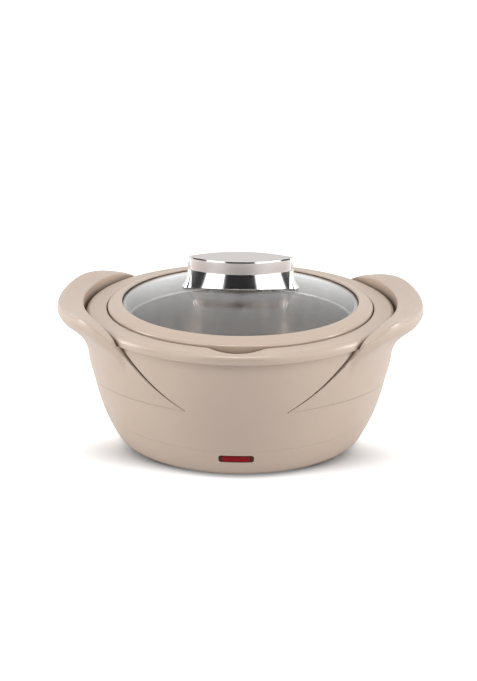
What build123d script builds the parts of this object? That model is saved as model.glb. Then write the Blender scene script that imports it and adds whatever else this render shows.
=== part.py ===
# Electric casserole: insulated bowl with two leaf-shaped ears and a lift-off glass lid.
# Lengths are in millimetres. The origin is the centre of the footprint on the table, +Z is up
# and the front, with the indicator and the finger notch, faces -Y.
import os
from math import cos, degrees, radians, sin, sqrt

from build123d import *

os.makedirs("parts", exist_ok=True)

# Fits
FIT = 0.3  # free space between neighbouring curved faces
SCREW_FIT = 0.15  # free space round a screw or a pin in its hole
THIN_FIT = 0.1  # free space between soft or clamped layers
OVERRUN = 6.0  # run of a cut past the face that it opens

# Levels, stacked from the table up
FOOT_STAND = 2.0  # feet below the base
POCKET_H = 18.0  # inlet pocket, from the base flange up
BASE_HEAD = 2.5  # roof between the inlet pocket and the lower seam
BODY_H = 77.5  # outer body up to the collar seam
COLLAR_H = 8.0  # collar skirt up to the shelf

# Heating plate, which the bowl is sized around
SPREADER_R = 70.0
FLOOR_GAP = 8.0  # free ring between the heating plate and the body's inner floor

# Outer shape of the bowl
FOOT_LIP = 7.2  # base housing's foot beyond the base plate
BASE_LEAN = 12.4  # how much wider the base is at the lower seam
BASE_BULGE = 0.7  # how far the base wall bows out of a straight cone
BASE_ROUND = 5.0  # rounding of the lower edge
BASE_WALL = 2.5
BODY_LEAN = 11.1  # how much wider the body is at its rim
BODY_BULGE = 3.8  # how far the body wall bows out of a straight cone
BODY_WALL = 5.5
FLOOR_T = 3.0  # inner floor ring of the outer body

# Collar
COLLAR_OVERHANG = 2.3  # collar beyond the body's rim
SHELF_W = 17.6  # collar from its outer face to the lid's well
COLLAR_ROUND = 4.5
COLLAR_SKIN = 2.5  # thickness of the ledge and of the locating tongue
TONGUE_H = 6.0  # tongue that drops inside the outer body
LEDGE_DEPTH = 9.0  # lid ledge below the shelf
LIP_H = 2.6  # inner lip above the ledge, which the steel rim hooks over
LIP_T = 2.9
NECK_H = 8.0  # neck below the ledge round the liner
NOTCH_R = 51.0  # scoop of the finger notch
NOTCH_RUN = 11.6  # how far the scoop runs out from the lid's well
NOTCH_TILT = 22.0  # lean of the scoop in degrees

# Wings and ears
EAR_REACH = 22.4  # ear beyond the wing skin
WING_PROUD = 3.9  # wing skin beyond the body's rim at the collar seam
WING_T = 3.0  # wing skin thickness at its lower edge
WING_FOOT_H = 32.5  # lower edge above the lower seam
WING_STEP = 0.2  # wing skin proud of the body at its lower edge
WING_TUCK = 1.0  # wing's inner face below the body's skin at the collar seam
WING_TIP_ANGLE = 73.3  # tip of the leaf, in degrees from the ear's middle
LEAF_THIN_SHARE = 0.85  # how much of its stand-out the leaf loses toward its tips
EAR_ANGLE = 47.0  # where the flare of the ear has died away, in degrees
EAR_POWER = 2.4  # how late the flare falls away from the ear's middle
EAR_GAP = 1.8  # free space between the collar and the ear's upright inner wall
EAR_RISE = 7.3  # crown of the ear above the shelf
EDGE_BLEND = 2.5  # softness of the bend between crown and falling edge
EDGE_SLOPE_SHARE = 0.655  # rise of the falling edge per length of girth
LIP_RISE = 3.7  # outer edge of the ear's top above its inner edge, halfway down each flank
SECTION_SHARES = (0.0, 0.14, 0.28, 0.4, 0.5, 0.58, 0.66, 0.74, 0.82, 0.9, 0.95, 0.985)
FLARE_SHARES = ((0.0, 0.0), (0.42, 0.0), (0.6, 0.2), (0.72, 0.55), (0.8, 0.85), (0.9, 1.0), (1.0, 0.95))

# Liner
LINER_GAP = 1.2  # free ring between the lid's band and the liner
LINER_T = 0.8
LINER_LEAN = 7.2  # how much narrower the liner is where its wall would meet the floor
LINER_ROUND = 24.0
LINER_FLOOR_H = 8.5  # cooking floor above the lower seam
LINER_NECK = 12.0  # upright band under the rim
LINER_SEAL_T = 1.2

# Heater stack under the liner
SPREADER_T = 3.0
HEATER_INSET = 4.0  # from the edge of the heating plate
HEATER_HOLE_R = 16.0
HEATER_T = 1.5
SHEET_INSET = 2.0
SHEET_T = 1.0
CLAMP_INSET = 10.0
CLAMP_HOLE_R = 14.0
CLAMP_T = 1.5
STUD_R = 2.0
STUD_PITCH_R = 42.0
STUD_RUN = 6.0  # stud below the clamp plate
NUT_R = 4.0
NUT_T = 3.2

# Thermostat, bracket and fuse
CAP_R = 8.0
CAP_FLANGE_R = 11.0
CAP_FLANGE_T = 1.0
STAT_R = 7.4
STAT_H = 9.0
TAB_W = 6.3
TAB_T = 0.8
TAB_L = 7.0
TAB_SPAN = 8.0  # between the two terminal tabs
BRACKET_W = 21.0
BRACKET_T = 1.0
BRACKET_L = 64.0
BRACKET_FOOT = 12.0
BRACKET_DROP = 2.2  # strap below the clamp plate
SMALL_SCREW_R = 1.4
SMALL_HEAD_R = 2.7
SMALL_HEAD_T = 1.8
FUSE_R = 2.0
FUSE_L = 12.0
FUSE_Y = 34.0
CLIP_W = 6.0
CLIP_T = 0.8

# Base plate, screws and feet
PLATE_LIP = 6.0  # base plate beyond the circle of screws
PLATE_T = 2.5
FLANGE_W = 14.0  # base housing's flange inward from the edge of the plate
FLANGE_T = 2.5
BOSS_INSET = 9.5  # boss from the inner edge of the body's floor
BOSS_R = 4.5
SCREW_R = 1.6
SCREW_HEAD_R = 3.4
SCREW_HEAD_T = 1.9
SCREW_L = 16.0
FOOT_R = 9.0
FOOT_INSET = 22.0  # middle of a foot from the edge of the plate
FOOT_STEM_R = 2.8
FOOT_BARB_R = 3.6
FOOT_BARB_H = 2.0

# Wing screws
WING_SCREW_ANGLE = 16.0  # each side of the ear's middle, in degrees
WING_SCREW_DROP = 9.5  # below the collar seam
WING_SCREW_R = 1.5
WING_HEAD_R = 2.8
WING_HEAD_T = 2.0
WING_SCREW_BITE = 6.0  # thread inside the wing

# Indicator
LENS_W = 27.6
LENS_H = 5.5
LENS_CORNER = 1.6
LENS_PROUD = 0.4
LENS_DROP = 7.0  # lens middle below the lower seam
BEZEL_W = 1.0
BEZEL_T = 1.0  # depth of the bezel frame behind the housing's outer face
LAMP_R = 2.6
LAMP_L = 13.0
HOLDER_T = 1.6
HOLDER_L = 20.0
RESISTOR_R = 1.3
RESISTOR_L = 7.0

# Mains inlet
INLET_W = 20.0
INLET_H = 12.0
INLET_L = 20.0
INLET_FLANGE = 2.5  # flange beyond the socket body on each side
INLET_FLANGE_T = 2.0
INLET_INSET = 14.6  # flat pocket floor inward from the lower seam
INLET_BORE_R = 4.2
INLET_DEPTH = 13.0
PIN_R = 1.2
PIN_PITCH = 8.6
PIN_TAIL = 6.0
POCKET_W = 31.0
POCKET_WALL = 2.0

# Inner leads
LEAD_R = 1.1
LEAD_BEND = 5.0
LAMP_LEAD_R = 0.8
LAMP_LEAD_OUT = 47.0  # how far out to the side the lamp leads run

# Lid ring, glass and band
RING_W = 12.2  # lid ring from its outer face to the glass
LID_GAP = 0.9  # free ring between the lid and the collar
RING_EDGE_H = 1.6  # upper outer edge above the shelf
RING_CREST_H = 6.2  # inner edge above the shelf
RING_BULGE = 0.7  # how far the ring's top bows up
RING_WALL = 2.6
RING_NOSE = 1.4  # thickness of the ring at its inner edge
GLASS_LAP = 5.2  # glass under the ring
GLASS_T = 3.5
GLASS_RISE = 14.6  # dome from the ring's inner edge to the middle
GLASS_SINK = 2.2  # glass below the ring's inner edge
GASKET_T = 0.8
BAND_INSET = 3.3  # outer face of the steel band inward from the ring's inner edge
BAND_T = 0.8
BAND_H = 12.0  # band below the shelf
HEM_R = 1.1
KEEPER_GAP = 1.2  # free space between the retaining ring and the liner's rim
SEAL_T = 1.5
SEAT_GAP = 0.2

# Lid handle
GRIP_TOP_H = 42.2  # flat top above the shelf
GRIP_BAND = 11.2  # upright band below the top
GRIP_CORNER_X = 41.3  # upright corner line from the middle
GRIP_END_BOW = 3.5  # rounded end beyond the corner line
GRIP_FOOT_FLARE = 5.0  # foot beyond the end of the top
GRIP_HALF = 16.8  # half depth at the top
GRIP_SIDE_FLARE = 1.9  # foot beyond the top on each long side
GRIP_END_HALF = 3.2  # half width of the cut ends
GRIP_WALL = 2.2
GRIP_EDGE = 0.7  # bevel of the top edge
GRIP_SCREW_X = 22.0
GRIP_SCREW_R = 2.4
GRIP_SCREW_BITE = 12.0
GRIP_HEAD_R = 4.4
GRIP_HEAD_T = 2.6
WASHER_R = 7.0
WASHER_T = 1.2
PAD_R = 6.0
PAD_T = 1.0
GRIP_LIFT = 0.35  # chrome foot above the glass

# Levels worked out from the stack
plate_top_z = FOOT_STAND + PLATE_T
flange_top_z = plate_top_z + FLANGE_T
pocket_high = flange_top_z + POCKET_H
seam_z = pocket_high + BASE_HEAD
skirt_z = seam_z + BODY_H
shelf_z = skirt_z + COLLAR_H
ledge_z = shelf_z - LEDGE_DEPTH
wing_foot_z = seam_z + WING_FOOT_H
liner_floor_z = seam_z + LINER_FLOOR_H

# Radii worked out from the heating plate outward, then inward to the lid and the liner
heater_r = SPREADER_R - HEATER_INSET
sheet_r = SPREADER_R - SHEET_INSET
clamp_r = SPREADER_R - CLAMP_INSET
floor_hole_r = SPREADER_R + FLOOR_GAP
boss_pitch_r = floor_hole_r + BOSS_INSET + BOSS_R
plate_r = boss_pitch_r + PLATE_LIP
flange_r = plate_r - FLANGE_W
foot_pitch_r = plate_r - FOOT_INSET
base_foot_r = plate_r + FOOT_LIP
seam_r = base_foot_r + BASE_LEAN
inlet_y = seam_r - INLET_INSET
rim_r = seam_r + BODY_LEAN
wing_r = rim_r + WING_PROUD
collar_r = rim_r + COLLAR_OVERHANG
ear_wall_r = collar_r + EAR_GAP
well_r = collar_r - SHELF_W
notch_reach = well_r + NOTCH_RUN
lid_r = well_r - LID_GAP
glass_open_r = lid_r - RING_W
glass_r = glass_open_r + GLASS_LAP
band_r = glass_open_r - BAND_INSET
liner_r = band_r + LINER_GAP
liner_heel_r = liner_r - LINER_LEAN


# Shared outlines
def circle_through(low, high, bulge):
    """Centre and radius of the circle through two (r, z) points that bows out by bulge between them."""
    mid = Vector((low[0] + high[0]) / 2, (low[1] + high[1]) / 2)
    chord = Vector(high[0] - low[0], high[1] - low[1])
    out = Vector(chord.Y, -chord.X).normalized()
    radius = (chord.length**2 / 4 + bulge**2) / (2 * bulge)
    centre = mid + out * (bulge - radius)
    return centre.X, centre.Y, radius


def arc_r(arc, z, inset=0.0):
    """Radius of the bowl at height z, measured inset mm inside its outer face."""
    return arc[0] + sqrt((arc[2] - inset) ** 2 - (z - arc[1]) ** 2)


def wall_arc(arc, z_from, z_to, inset=0.0):
    """Arc of the bowl's wall between two heights."""
    z_mid = (z_from + z_to) / 2
    ends = [(arc_r(arc, z, inset), z) for z in (z_from, z_mid, z_to)]
    return ThreePointArc(*ends)


def spin(*edges):
    """Solid of revolution from a closed run of edges drawn as (r, z)."""
    return revolve(Plane.XZ * make_face(edges), Axis.Z)


def spin_points(*points):
    return spin(*Polyline(*points, close=True).edges())


def rod(radius, low, high):
    """Upright cylinder between two heights."""
    return Pos(0, 0, low) * Cylinder(radius, high - low, align=(Align.CENTER, Align.CENTER, Align.MIN))


def block(x_size, y_low, y_high, z_low, z_high):
    """Box that is centred on x = 0."""
    box = Box(x_size, y_high - y_low, z_high - z_low, align=(Align.CENTER, Align.MIN, Align.MIN))
    return Pos(0, y_low, z_low) * box


def around(shape, count, radius, start=0.0):
    """Copies of a shape set round the axis at even angles."""
    step = 360 / count
    return [Rot(0, 0, start + step * i) * Pos(radius, 0, 0) * shape for i in range(count)]


def save(name, shape):
    export_step(shape, "parts/" + name + ".step")


def save_group(name, shapes):
    save(name, Compound(children=[solid for shape in shapes for solid in shape.solids()]))


body_arc = circle_through((seam_r, seam_z), (rim_r, skirt_z), BODY_BULGE)
base_arc = circle_through((base_foot_r, FOOT_STAND), (seam_r, seam_z), BASE_BULGE)

# Wing outlines
wing_foot_r = arc_r(body_arc, wing_foot_z) + WING_STEP
tip_girth = wing_r * radians(WING_TIP_ANGLE)


def wing_edge_z(angle):
    """Height of the leaf's upper edge: a flat crown blended into a straight falling edge."""
    girth = wing_r * radians(abs(angle))
    falling = wing_foot_z + EDGE_SLOPE_SHARE * (tip_girth - girth)
    crown = shelf_z + EAR_RISE
    half = (falling - crown) / 2
    return (falling + crown) / 2 - sqrt(half**2 + EDGE_BLEND**2)


def wing_skin_r(angle, z):
    """Radius of the wing's outer skin before the ear flares out of it, thinner toward the tips."""
    fall = max(0.0, (skirt_z - z) / (skirt_z - wing_foot_z))
    proud = wing_r - (wing_r - wing_foot_r) * fall**2
    flush = arc_r(body_arc, min(z, skirt_z)) + WING_STEP
    return proud - (proud - flush) * LEAF_THIN_SHARE * (angle / WING_TIP_ANGLE) ** 2


def ear_flare(angle):
    """Share of the full ear reach at an angle from the ear's middle."""
    return max(0.0, 1 - (abs(angle) / EAR_ANGLE) ** EAR_POWER)


def lip_rise(angle):
    """Outer edge of the ear's top above its inner edge: level in the middle and highest on the flanks."""
    flare = ear_flare(angle)
    return LIP_RISE * 4 * flare * (1 - flare)


def radial_plane(angle):
    c, s = cos(radians(angle)), sin(radians(angle))
    return Plane(origin=(0, 0, 0), x_dir=(c, s, 0), z_dir=(s, -c, 0))


def section_angles():
    half = [share * WING_TIP_ANGLE for share in SECTION_SHARES]
    return [-angle for angle in reversed(half[1:])] + half


def wing_section(angle):
    """Radial section of a wing, run inward past its seat."""
    flare = ear_flare(angle)
    low = wing_foot_z
    inner_z = max(wing_edge_z(angle), low + WING_STEP)
    top = inner_z + lip_rise(angle)
    deep = wing_foot_r - WING_T - OVERRUN
    heights = [low + share[0] * (top - low) for share in FLARE_SHARES]
    skin = [(wing_skin_r(angle, z) + share[1] * flare * EAR_REACH, z) for z, share in zip(heights, FLARE_SHARES)]
    outer = Spline(*skin)
    foot_edge = Line((deep, low), skin[0])
    seat_edges = Polyline(skin[-1], (deep, inner_z), (deep, low)).edges()
    return radial_plane(angle) * make_face([foot_edge, outer, *seat_edges])


def pocket_section(angle):
    """Radial section of the recess that a wing sits in."""
    wider = angle + degrees(FIT / rim_r) * (angle > 0) - degrees(FIT / rim_r) * (angle < 0)
    low = wing_foot_z - FIT
    top = max(wing_edge_z(angle), wing_foot_z + WING_STEP) + FIT
    deep = wing_foot_r - WING_T - OVERRUN
    far = wing_r + OVERRUN
    far_top = top + lip_rise(angle)
    outline = Polyline((deep, low), (far, low), (far, far_top), (deep, top), close=True)
    return radial_plane(wider) * make_face(outline.edges())


def wing_seat_r(z):
    """Radius of the cone that the wings lie on."""
    foot_r = wing_foot_r - WING_T
    head_r = rim_r - WING_TUCK
    return foot_r + (head_r - foot_r) * (z - wing_foot_z) / (skirt_z - wing_foot_z)


def wing_seat(shrink, step_z):
    """Solid inside the wings' seat: a cone up to a step, then the ears' upright inner wall."""
    low_z = wing_foot_z - OVERRUN
    high_z = shelf_z + EAR_RISE + OVERRUN
    return spin_points(
        (0, low_z),
        (wing_seat_r(low_z) - shrink, low_z),
        (wing_seat_r(step_z) - shrink, step_z),
        (ear_wall_r, step_z),
        (ear_wall_r, high_z),
        (0, high_z),
    )


# Wing screws: radial screws from inside the body into the root of each ear
wing_screw_z = skirt_z - WING_SCREW_DROP
wing_tip_r = wing_seat_r(wing_screw_z) + WING_SCREW_BITE
wing_head_r = arc_r(body_arc, wing_screw_z, BODY_WALL)
wing_screw_angles = [side + turn for side in (0, 180) for turn in (-WING_SCREW_ANGLE, WING_SCREW_ANGLE)]


def radial_rod(radius, r_from, r_to, angle, z):
    return Rot(0, 0, angle) * Pos(r_from, 0, z) * Rot(0, 90, 0) * Cylinder(
        radius, r_to - r_from, align=(Align.CENTER, Align.CENTER, Align.MIN)
    )


def wing_screw(angle):
    head_low = wing_head_r - WING_HEAD_T - THIN_FIT
    head_high = wing_head_r - THIN_FIT
    head = radial_rod(WING_HEAD_R, head_low, head_high, angle, wing_screw_z)
    return head + radial_rod(WING_SCREW_R, head_low, wing_tip_r, angle, wing_screw_z)


def wing_screw_holes(angles):
    tip = wing_tip_r + THIN_FIT
    start = wing_head_r - OVERRUN
    return [radial_rod(WING_SCREW_R + SCREW_FIT, start, tip, angle, wing_screw_z) for angle in angles]


# Outer body: thick bowl wall with an inner floor ring, screw bosses below and a recess for each wing
floor_top_z = seam_z + FLOOR_T
outer_body = spin(
    wall_arc(body_arc, seam_z, skirt_z),
    Line((rim_r, skirt_z), (arc_r(body_arc, skirt_z, BODY_WALL), skirt_z)),
    wall_arc(body_arc, skirt_z, floor_top_z, BODY_WALL),
    Line((arc_r(body_arc, floor_top_z, BODY_WALL), floor_top_z), (floor_hole_r, floor_top_z)),
    Line((floor_hole_r, floor_top_z), (floor_hole_r, seam_z)),
    Line((floor_hole_r, seam_z), (seam_r, seam_z)),
)
boss = rod(BOSS_R, flange_top_z, seam_z + FLOOR_T / 2)
boss_hole = rod(SCREW_R + SCREW_FIT, flange_top_z - OVERRUN, FOOT_STAND + SCREW_L + THIN_FIT)
for one in around(boss, 4, boss_pitch_r, 45):
    outer_body += one
for one in around(boss_hole, 4, boss_pitch_r, 45):
    outer_body -= one
pocket = loft([pocket_section(angle) for angle in section_angles()]) - wing_seat(FIT, skirt_z + OVERRUN)
outer_body -= pocket
outer_body -= mirror(pocket, about=Plane.YZ)
for one in wing_screw_holes(wing_screw_angles):
    outer_body -= one
save("outer_body", outer_body)

# Wing handles: leaf-shaped panels whose upper edge flares into an ear
right_wing = loft([wing_section(angle) for angle in section_angles()]) - wing_seat(0.0, skirt_z - FIT)
for one in wing_screw_holes(wing_screw_angles[:2]):
    right_wing -= one
left_wing = mirror(right_wing, about=Plane.YZ)
save("right_wing_handle", right_wing)
save("left_wing_handle", left_wing)
save_group("wing_screws", [wing_screw(angle) for angle in wing_screw_angles])

# Top collar: rounded shoulder, flat shelf, lid ledge, inner lip for the steel rim, and the finger notch
liner_out_r = liner_r + LINER_T
neck_r = liner_out_r + FIT
lip_out_r = neck_r + LIP_T
lip_top_z = ledge_z + LIP_H
tongue_r = arc_r(body_arc, skirt_z, BODY_WALL) - FIT
under_z = ledge_z - COLLAR_SKIN
neck_z = ledge_z - NECK_H
shoulder_r = collar_r - COLLAR_ROUND
round_mid = COLLAR_ROUND * cos(radians(45))
collar = spin(
    Line((collar_r, skirt_z), (collar_r, shelf_z - COLLAR_ROUND)),
    ThreePointArc(
        (collar_r, shelf_z - COLLAR_ROUND),
        (shoulder_r + round_mid, shelf_z - COLLAR_ROUND + round_mid),
        (shoulder_r, shelf_z),
    ),
    *Polyline(
        (shoulder_r, shelf_z),
        (well_r, shelf_z),
        (well_r, ledge_z),
        (lip_out_r, ledge_z),
        (lip_out_r, lip_top_z),
        (neck_r, lip_top_z),
        (neck_r, neck_z),
        (neck_r + COLLAR_SKIN, neck_z),
        (neck_r + COLLAR_SKIN, under_z),
        (tongue_r - COLLAR_SKIN, under_z),
        (tongue_r - COLLAR_SKIN, skirt_z - TONGUE_H),
        (tongue_r, skirt_z - TONGUE_H),
        (tongue_r, skirt_z),
        (collar_r, skirt_z),
    ).edges(),
)
scoop = Pos(0, -notch_reach, shelf_z) * Rot(-NOTCH_TILT, 0, 0) * Pos(0, 0, NOTCH_R) * Rot(90, 0, 0)
scoop_top_z = shelf_z + OVERRUN
scoop_keep = rod(collar_r, ledge_z, scoop_top_z) - rod(well_r, ledge_z - OVERRUN, scoop_top_z + OVERRUN)
collar -= scoop * Cylinder(NOTCH_R, 2 * NOTCH_R) & scoop_keep
save("top_collar", collar)

# Liner bowl: drawn steel bowl whose rim hooks over the collar's inner lip
rim_z = lip_top_z + LINER_SEAL_T + 2 * THIN_FIT
rim_out_r = lip_out_r + FIT + LINER_T


def liner_solid(grow):
    """Filled bowl, grown outward by the given amount."""
    lean = Vector(liner_r - liner_heel_r, rim_z - LINER_NECK - liner_floor_z)
    shift = grow * lean.length / lean.Y
    floor_z = liner_floor_z - grow
    heel_r = liner_heel_r + shift - grow * lean.X / lean.Y
    waist_z = rim_z - LINER_NECK
    waist_r = liner_r + grow
    corners = ((0, floor_z), (heel_r, floor_z), (waist_r, waist_z), (waist_r, rim_z), (0, rim_z))
    face = make_face(Polyline(*corners, close=True).edges())
    heel = face.vertices().sort_by(Axis.Y)[:2].sort_by(Axis.X)[-1]
    return revolve(Plane.XZ * fillet(heel, LINER_ROUND + grow), Axis.Z)


rim_top_z = rim_z + LINER_T
liner = liner_solid(LINER_T) - liner_solid(0.0)
liner += spin_points(
    (liner_r, rim_z - LINER_T),
    (liner_r, rim_top_z),
    (rim_out_r, rim_top_z),
    (rim_out_r, ledge_z + FIT),
    (rim_out_r - LINER_T, ledge_z + FIT),
    (rim_out_r - LINER_T, rim_z),
    (liner_out_r, rim_z),
    (liner_out_r, rim_z - LINER_T),
)
save("liner_bowl", liner)
liner_seal_z = lip_top_z + THIN_FIT
liner_seal = rod(lip_out_r, liner_seal_z, liner_seal_z + LINER_SEAL_T)
liner_seal -= rod(neck_r, liner_seal_z - OVERRUN, liner_seal_z + OVERRUN)
save("liner_seal", liner_seal)

# Foam insulation: fills the space between the outer body and the liner
foam_low_z = floor_top_z + THIN_FIT
foam_high_z = wing_screw_z - WING_HEAD_R - FIT
foam_in_r = floor_hole_r
foam = spin(
    wall_arc(body_arc, foam_low_z, foam_high_z, BODY_WALL + FIT),
    Line((arc_r(body_arc, foam_high_z, BODY_WALL + FIT), foam_high_z), (foam_in_r, foam_high_z)),
    Line((foam_in_r, foam_high_z), (foam_in_r, foam_low_z)),
    Line((foam_in_r, foam_low_z), (arc_r(body_arc, foam_low_z, BODY_WALL + FIT), foam_low_z)),
)
foam -= liner_solid(LINER_T + FIT)
foam -= rod(neck_r + COLLAR_SKIN + FIT, neck_z - FIT, foam_high_z + OVERRUN)
save("foam_insulation", foam)

# Heater stack: spreader, flat heater, mica sheet and clamp plate on studs under the liner
stack_z = liner_floor_z - LINER_T
heater_top_z = stack_z - SPREADER_T
sheet_top_z = heater_top_z - HEATER_T
clamp_top_z = sheet_top_z - SHEET_T
clamp_low_z = clamp_top_z - CLAMP_T
stud_hole = rod(STUD_R + SCREW_FIT, clamp_low_z - OVERRUN, stack_z + OVERRUN)
stud_holes = around(stud_hole, 3, STUD_PITCH_R, 30)


def stack_disc(radius, hole_r, low, high):
    disc = rod(radius, low, high)
    if hole_r > 0:
        disc -= rod(hole_r, low - OVERRUN, high + OVERRUN)
    for hole in stud_holes:
        disc -= hole
    return disc


strap_x = (BRACKET_L - BRACKET_FOOT) / 2
strap_hole = rod(SMALL_SCREW_R + SCREW_FIT, clamp_low_z - OVERRUN, clamp_top_z + OVERRUN)
strap_holes = around(strap_hole, 2, strap_x)
clamp = stack_disc(clamp_r, CLAMP_HOLE_R, clamp_low_z, clamp_top_z)
for one in strap_holes:
    clamp -= one
save("heat_spreader", stack_disc(SPREADER_R, 0.0, heater_top_z, stack_z))
mica_sheet = stack_disc(sheet_r, HEATER_HOLE_R, clamp_top_z, sheet_top_z)
for one in strap_holes:
    mica_sheet -= one
save("mica_heater", stack_disc(heater_r, HEATER_HOLE_R, sheet_top_z, heater_top_z))
save("mica_sheet", mica_sheet)
save("heater_clamp", clamp)
save_group("liner_studs", around(rod(STUD_R, clamp_low_z - STUD_RUN, stack_z), 3, STUD_PITCH_R, 30))
nut = Pos(0, 0, clamp_low_z - NUT_T) * extrude(RegularPolygon(NUT_R, 6), NUT_T)
nut -= rod(STUD_R + SCREW_FIT, clamp_low_z - OVERRUN, clamp_low_z + OVERRUN)
save_group("stud_nuts", around(nut, 3, STUD_PITCH_R, 30))

# Thermostat: cap against the spreader, moulded body, two terminal tabs, held up by a strap
strap_top_z = clamp_low_z - BRACKET_DROP + BRACKET_T
flange_z = strap_top_z + CAP_FLANGE_T
cap = rod(CAP_R, strap_top_z, heater_top_z) + rod(CAP_FLANGE_R, strap_top_z, flange_z)
save("thermostat_cap", cap)
stat_low_z = strap_top_z - STAT_H
save("thermostat_body", rod(STAT_R, stat_low_z, strap_top_z))
tab = block(TAB_T, -TAB_W / 2, TAB_W / 2, stat_low_z - TAB_L, stat_low_z)
save_group("thermostat_terminals", [Pos(side * TAB_SPAN / 2, 0, 0) * tab for side in (-1, 1)])
strap_low_z = strap_top_z - BRACKET_T
foot_in_x = BRACKET_L / 2 - BRACKET_FOOT
strap_side = Polyline(
    (-BRACKET_L / 2, clamp_low_z),
    (-BRACKET_L / 2, clamp_low_z - BRACKET_T),
    (-foot_in_x, clamp_low_z - BRACKET_T),
    (-foot_in_x, strap_low_z),
    (foot_in_x, strap_low_z),
    (foot_in_x, clamp_low_z - BRACKET_T),
    (BRACKET_L / 2, clamp_low_z - BRACKET_T),
    (BRACKET_L / 2, clamp_low_z),
    (foot_in_x - BRACKET_T, clamp_low_z),
    (foot_in_x - BRACKET_T, strap_top_z),
    (BRACKET_T - foot_in_x, strap_top_z),
    (BRACKET_T - foot_in_x, clamp_low_z),
    close=True,
)
strap = extrude(Plane.XZ * make_face(strap_side.edges()), BRACKET_W / 2, both=True)
strap -= rod(STAT_R + FIT, strap_low_z - OVERRUN, strap_top_z + OVERRUN)
for one in strap_holes:
    strap -= one
save("thermostat_bracket", strap)
strap_head_z = clamp_low_z - BRACKET_T
strap_screw = rod(SMALL_HEAD_R, strap_head_z - SMALL_HEAD_T, strap_head_z)
strap_screw += rod(SMALL_SCREW_R, strap_head_z - SMALL_HEAD_T, strap_head_z + BRACKET_T + CLAMP_T)
save_group("bracket_screws", around(strap_screw, 2, strap_x))

# Thermal fuse: in a clip under the clamp plate, wired into the return lead
fuse_z = clamp_low_z - CLIP_T - FIT - FUSE_R
fuse = Pos(0, FUSE_Y, fuse_z) * Rot(0, 90, 0) * Cylinder(FUSE_R, FUSE_L)
save("thermal_fuse", fuse)
clip_half = FUSE_R + FIT + CLIP_T
slot_half = FUSE_R + FIT
clip = block(CLIP_W, FUSE_Y - clip_half, FUSE_Y + clip_half, fuse_z - FUSE_R, clamp_low_z)
clip_roof_z = clamp_low_z - CLIP_T
clip -= block(CLIP_W + OVERRUN, FUSE_Y - slot_half, FUSE_Y + slot_half, fuse_z - OVERRUN, clip_roof_z)
save("fuse_clip", clip)

# Base housing: lower bowl with an inner flange, the indicator window in front and a notch for the inlet behind
plate_hole_r = plate_r + FIT
base = spin(
    wall_arc(base_arc, FOOT_STAND, seam_z),
    Line((seam_r, seam_z), (arc_r(base_arc, seam_z, BASE_WALL), seam_z)),
    wall_arc(base_arc, seam_z, flange_top_z, BASE_WALL),
    *Polyline(
        (arc_r(base_arc, flange_top_z, BASE_WALL), flange_top_z),
        (flange_r, flange_top_z),
        (flange_r, plate_top_z),
        (plate_hole_r, plate_top_z),
        (plate_hole_r, FOOT_STAND),
        (base_foot_r, FOOT_STAND),
    ).edges(),
)
base_full = spin(
    wall_arc(base_arc, FOOT_STAND, seam_z),
    *Polyline((seam_r, seam_z), (0, seam_z), (0, FOOT_STAND), (base_foot_r, FOOT_STAND)).edges(),
)
low_edge = base.edges().filter_by(GeomType.CIRCLE).group_by(Axis.Z)[0].sort_by(SortBy.RADIUS)[-1]
base = fillet(low_edge, BASE_ROUND)
hood_w = POCKET_W + 2 * POCKET_WALL
hood_back_y = inlet_y - BASE_WALL
base -= block(hood_w + 2 * FIT, hood_back_y - FIT, seam_r + OVERRUN, flange_top_z, seam_z + OVERRUN)
for one in around(rod(SCREW_R + SCREW_FIT, FOOT_STAND, flange_top_z + OVERRUN), 4, boss_pitch_r, 45):
    base -= one
lens_z = seam_z - LENS_DROP


def lens_prism(grow, y_from, y_to):
    """Rounded bar that looks forward through the base wall."""
    bar = RectangleRounded(LENS_W + 2 * grow, LENS_H + 2 * grow, LENS_CORNER + grow)
    return Pos(0, y_to, lens_z) * extrude(Plane.XZ * bar, y_to - y_from)


def base_skin(inset):
    """Filled base whose wall is drawn in by the given amount."""
    top_z = seam_z + OVERRUN
    return spin(
        wall_arc(base_arc, FOOT_STAND, top_z, inset),
        *Polyline(
            (arc_r(base_arc, top_z, inset), top_z),
            (0, top_z),
            (0, FOOT_STAND),
            (arc_r(base_arc, FOOT_STAND, inset), FOOT_STAND),
        ).edges(),
    )


front_y = -seam_r - OVERRUN
holder_r = arc_r(base_arc, flange_top_z, BASE_WALL) - FIT
holder_front_y = -sqrt(holder_r**2 - (HOLDER_L / 2) ** 2)
lens_back_y = holder_front_y - FIT
window = lens_prism(BEZEL_W + FIT / 2, front_y, -flange_r)
base -= window
save("base_housing", base)

# Indicator: dark bezel frame in the window, red lens in the bezel, lamp in a holder behind
bezel = lens_prism(BEZEL_W, front_y, -flange_r)
bezel -= lens_prism(THIN_FIT, front_y - OVERRUN, OVERRUN - flange_r)
bezel = (bezel & base_skin(0.0)) - base_skin(BASE_WALL + BEZEL_T)
save("indicator_bezel", bezel)
lens = lens_prism(0.0, front_y, lens_back_y) & base_skin(-LENS_PROUD)
save("indicator_lens", lens)
lamp_y = holder_front_y + HOLDER_T + LAMP_R + FIT
lamp = Pos(0, lamp_y, lens_z) * Rot(0, 90, 0) * Cylinder(LAMP_R, LAMP_L)
save("neon_lamp", lamp)
holder_low_z = lens_z - LAMP_R - FIT - HOLDER_T
holder_back_y = lamp_y + LAMP_R + FIT + HOLDER_T
holder = block(HOLDER_L, holder_front_y, holder_back_y, flange_top_z, lens_z + LAMP_R / 2)
trough_half = LAMP_R + FIT
trough_low_z = holder_low_z + HOLDER_T
trough_l = HOLDER_L + OVERRUN
holder -= block(trough_l, lamp_y - trough_half, lamp_y + trough_half, trough_low_z, lens_z + OVERRUN)
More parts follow.
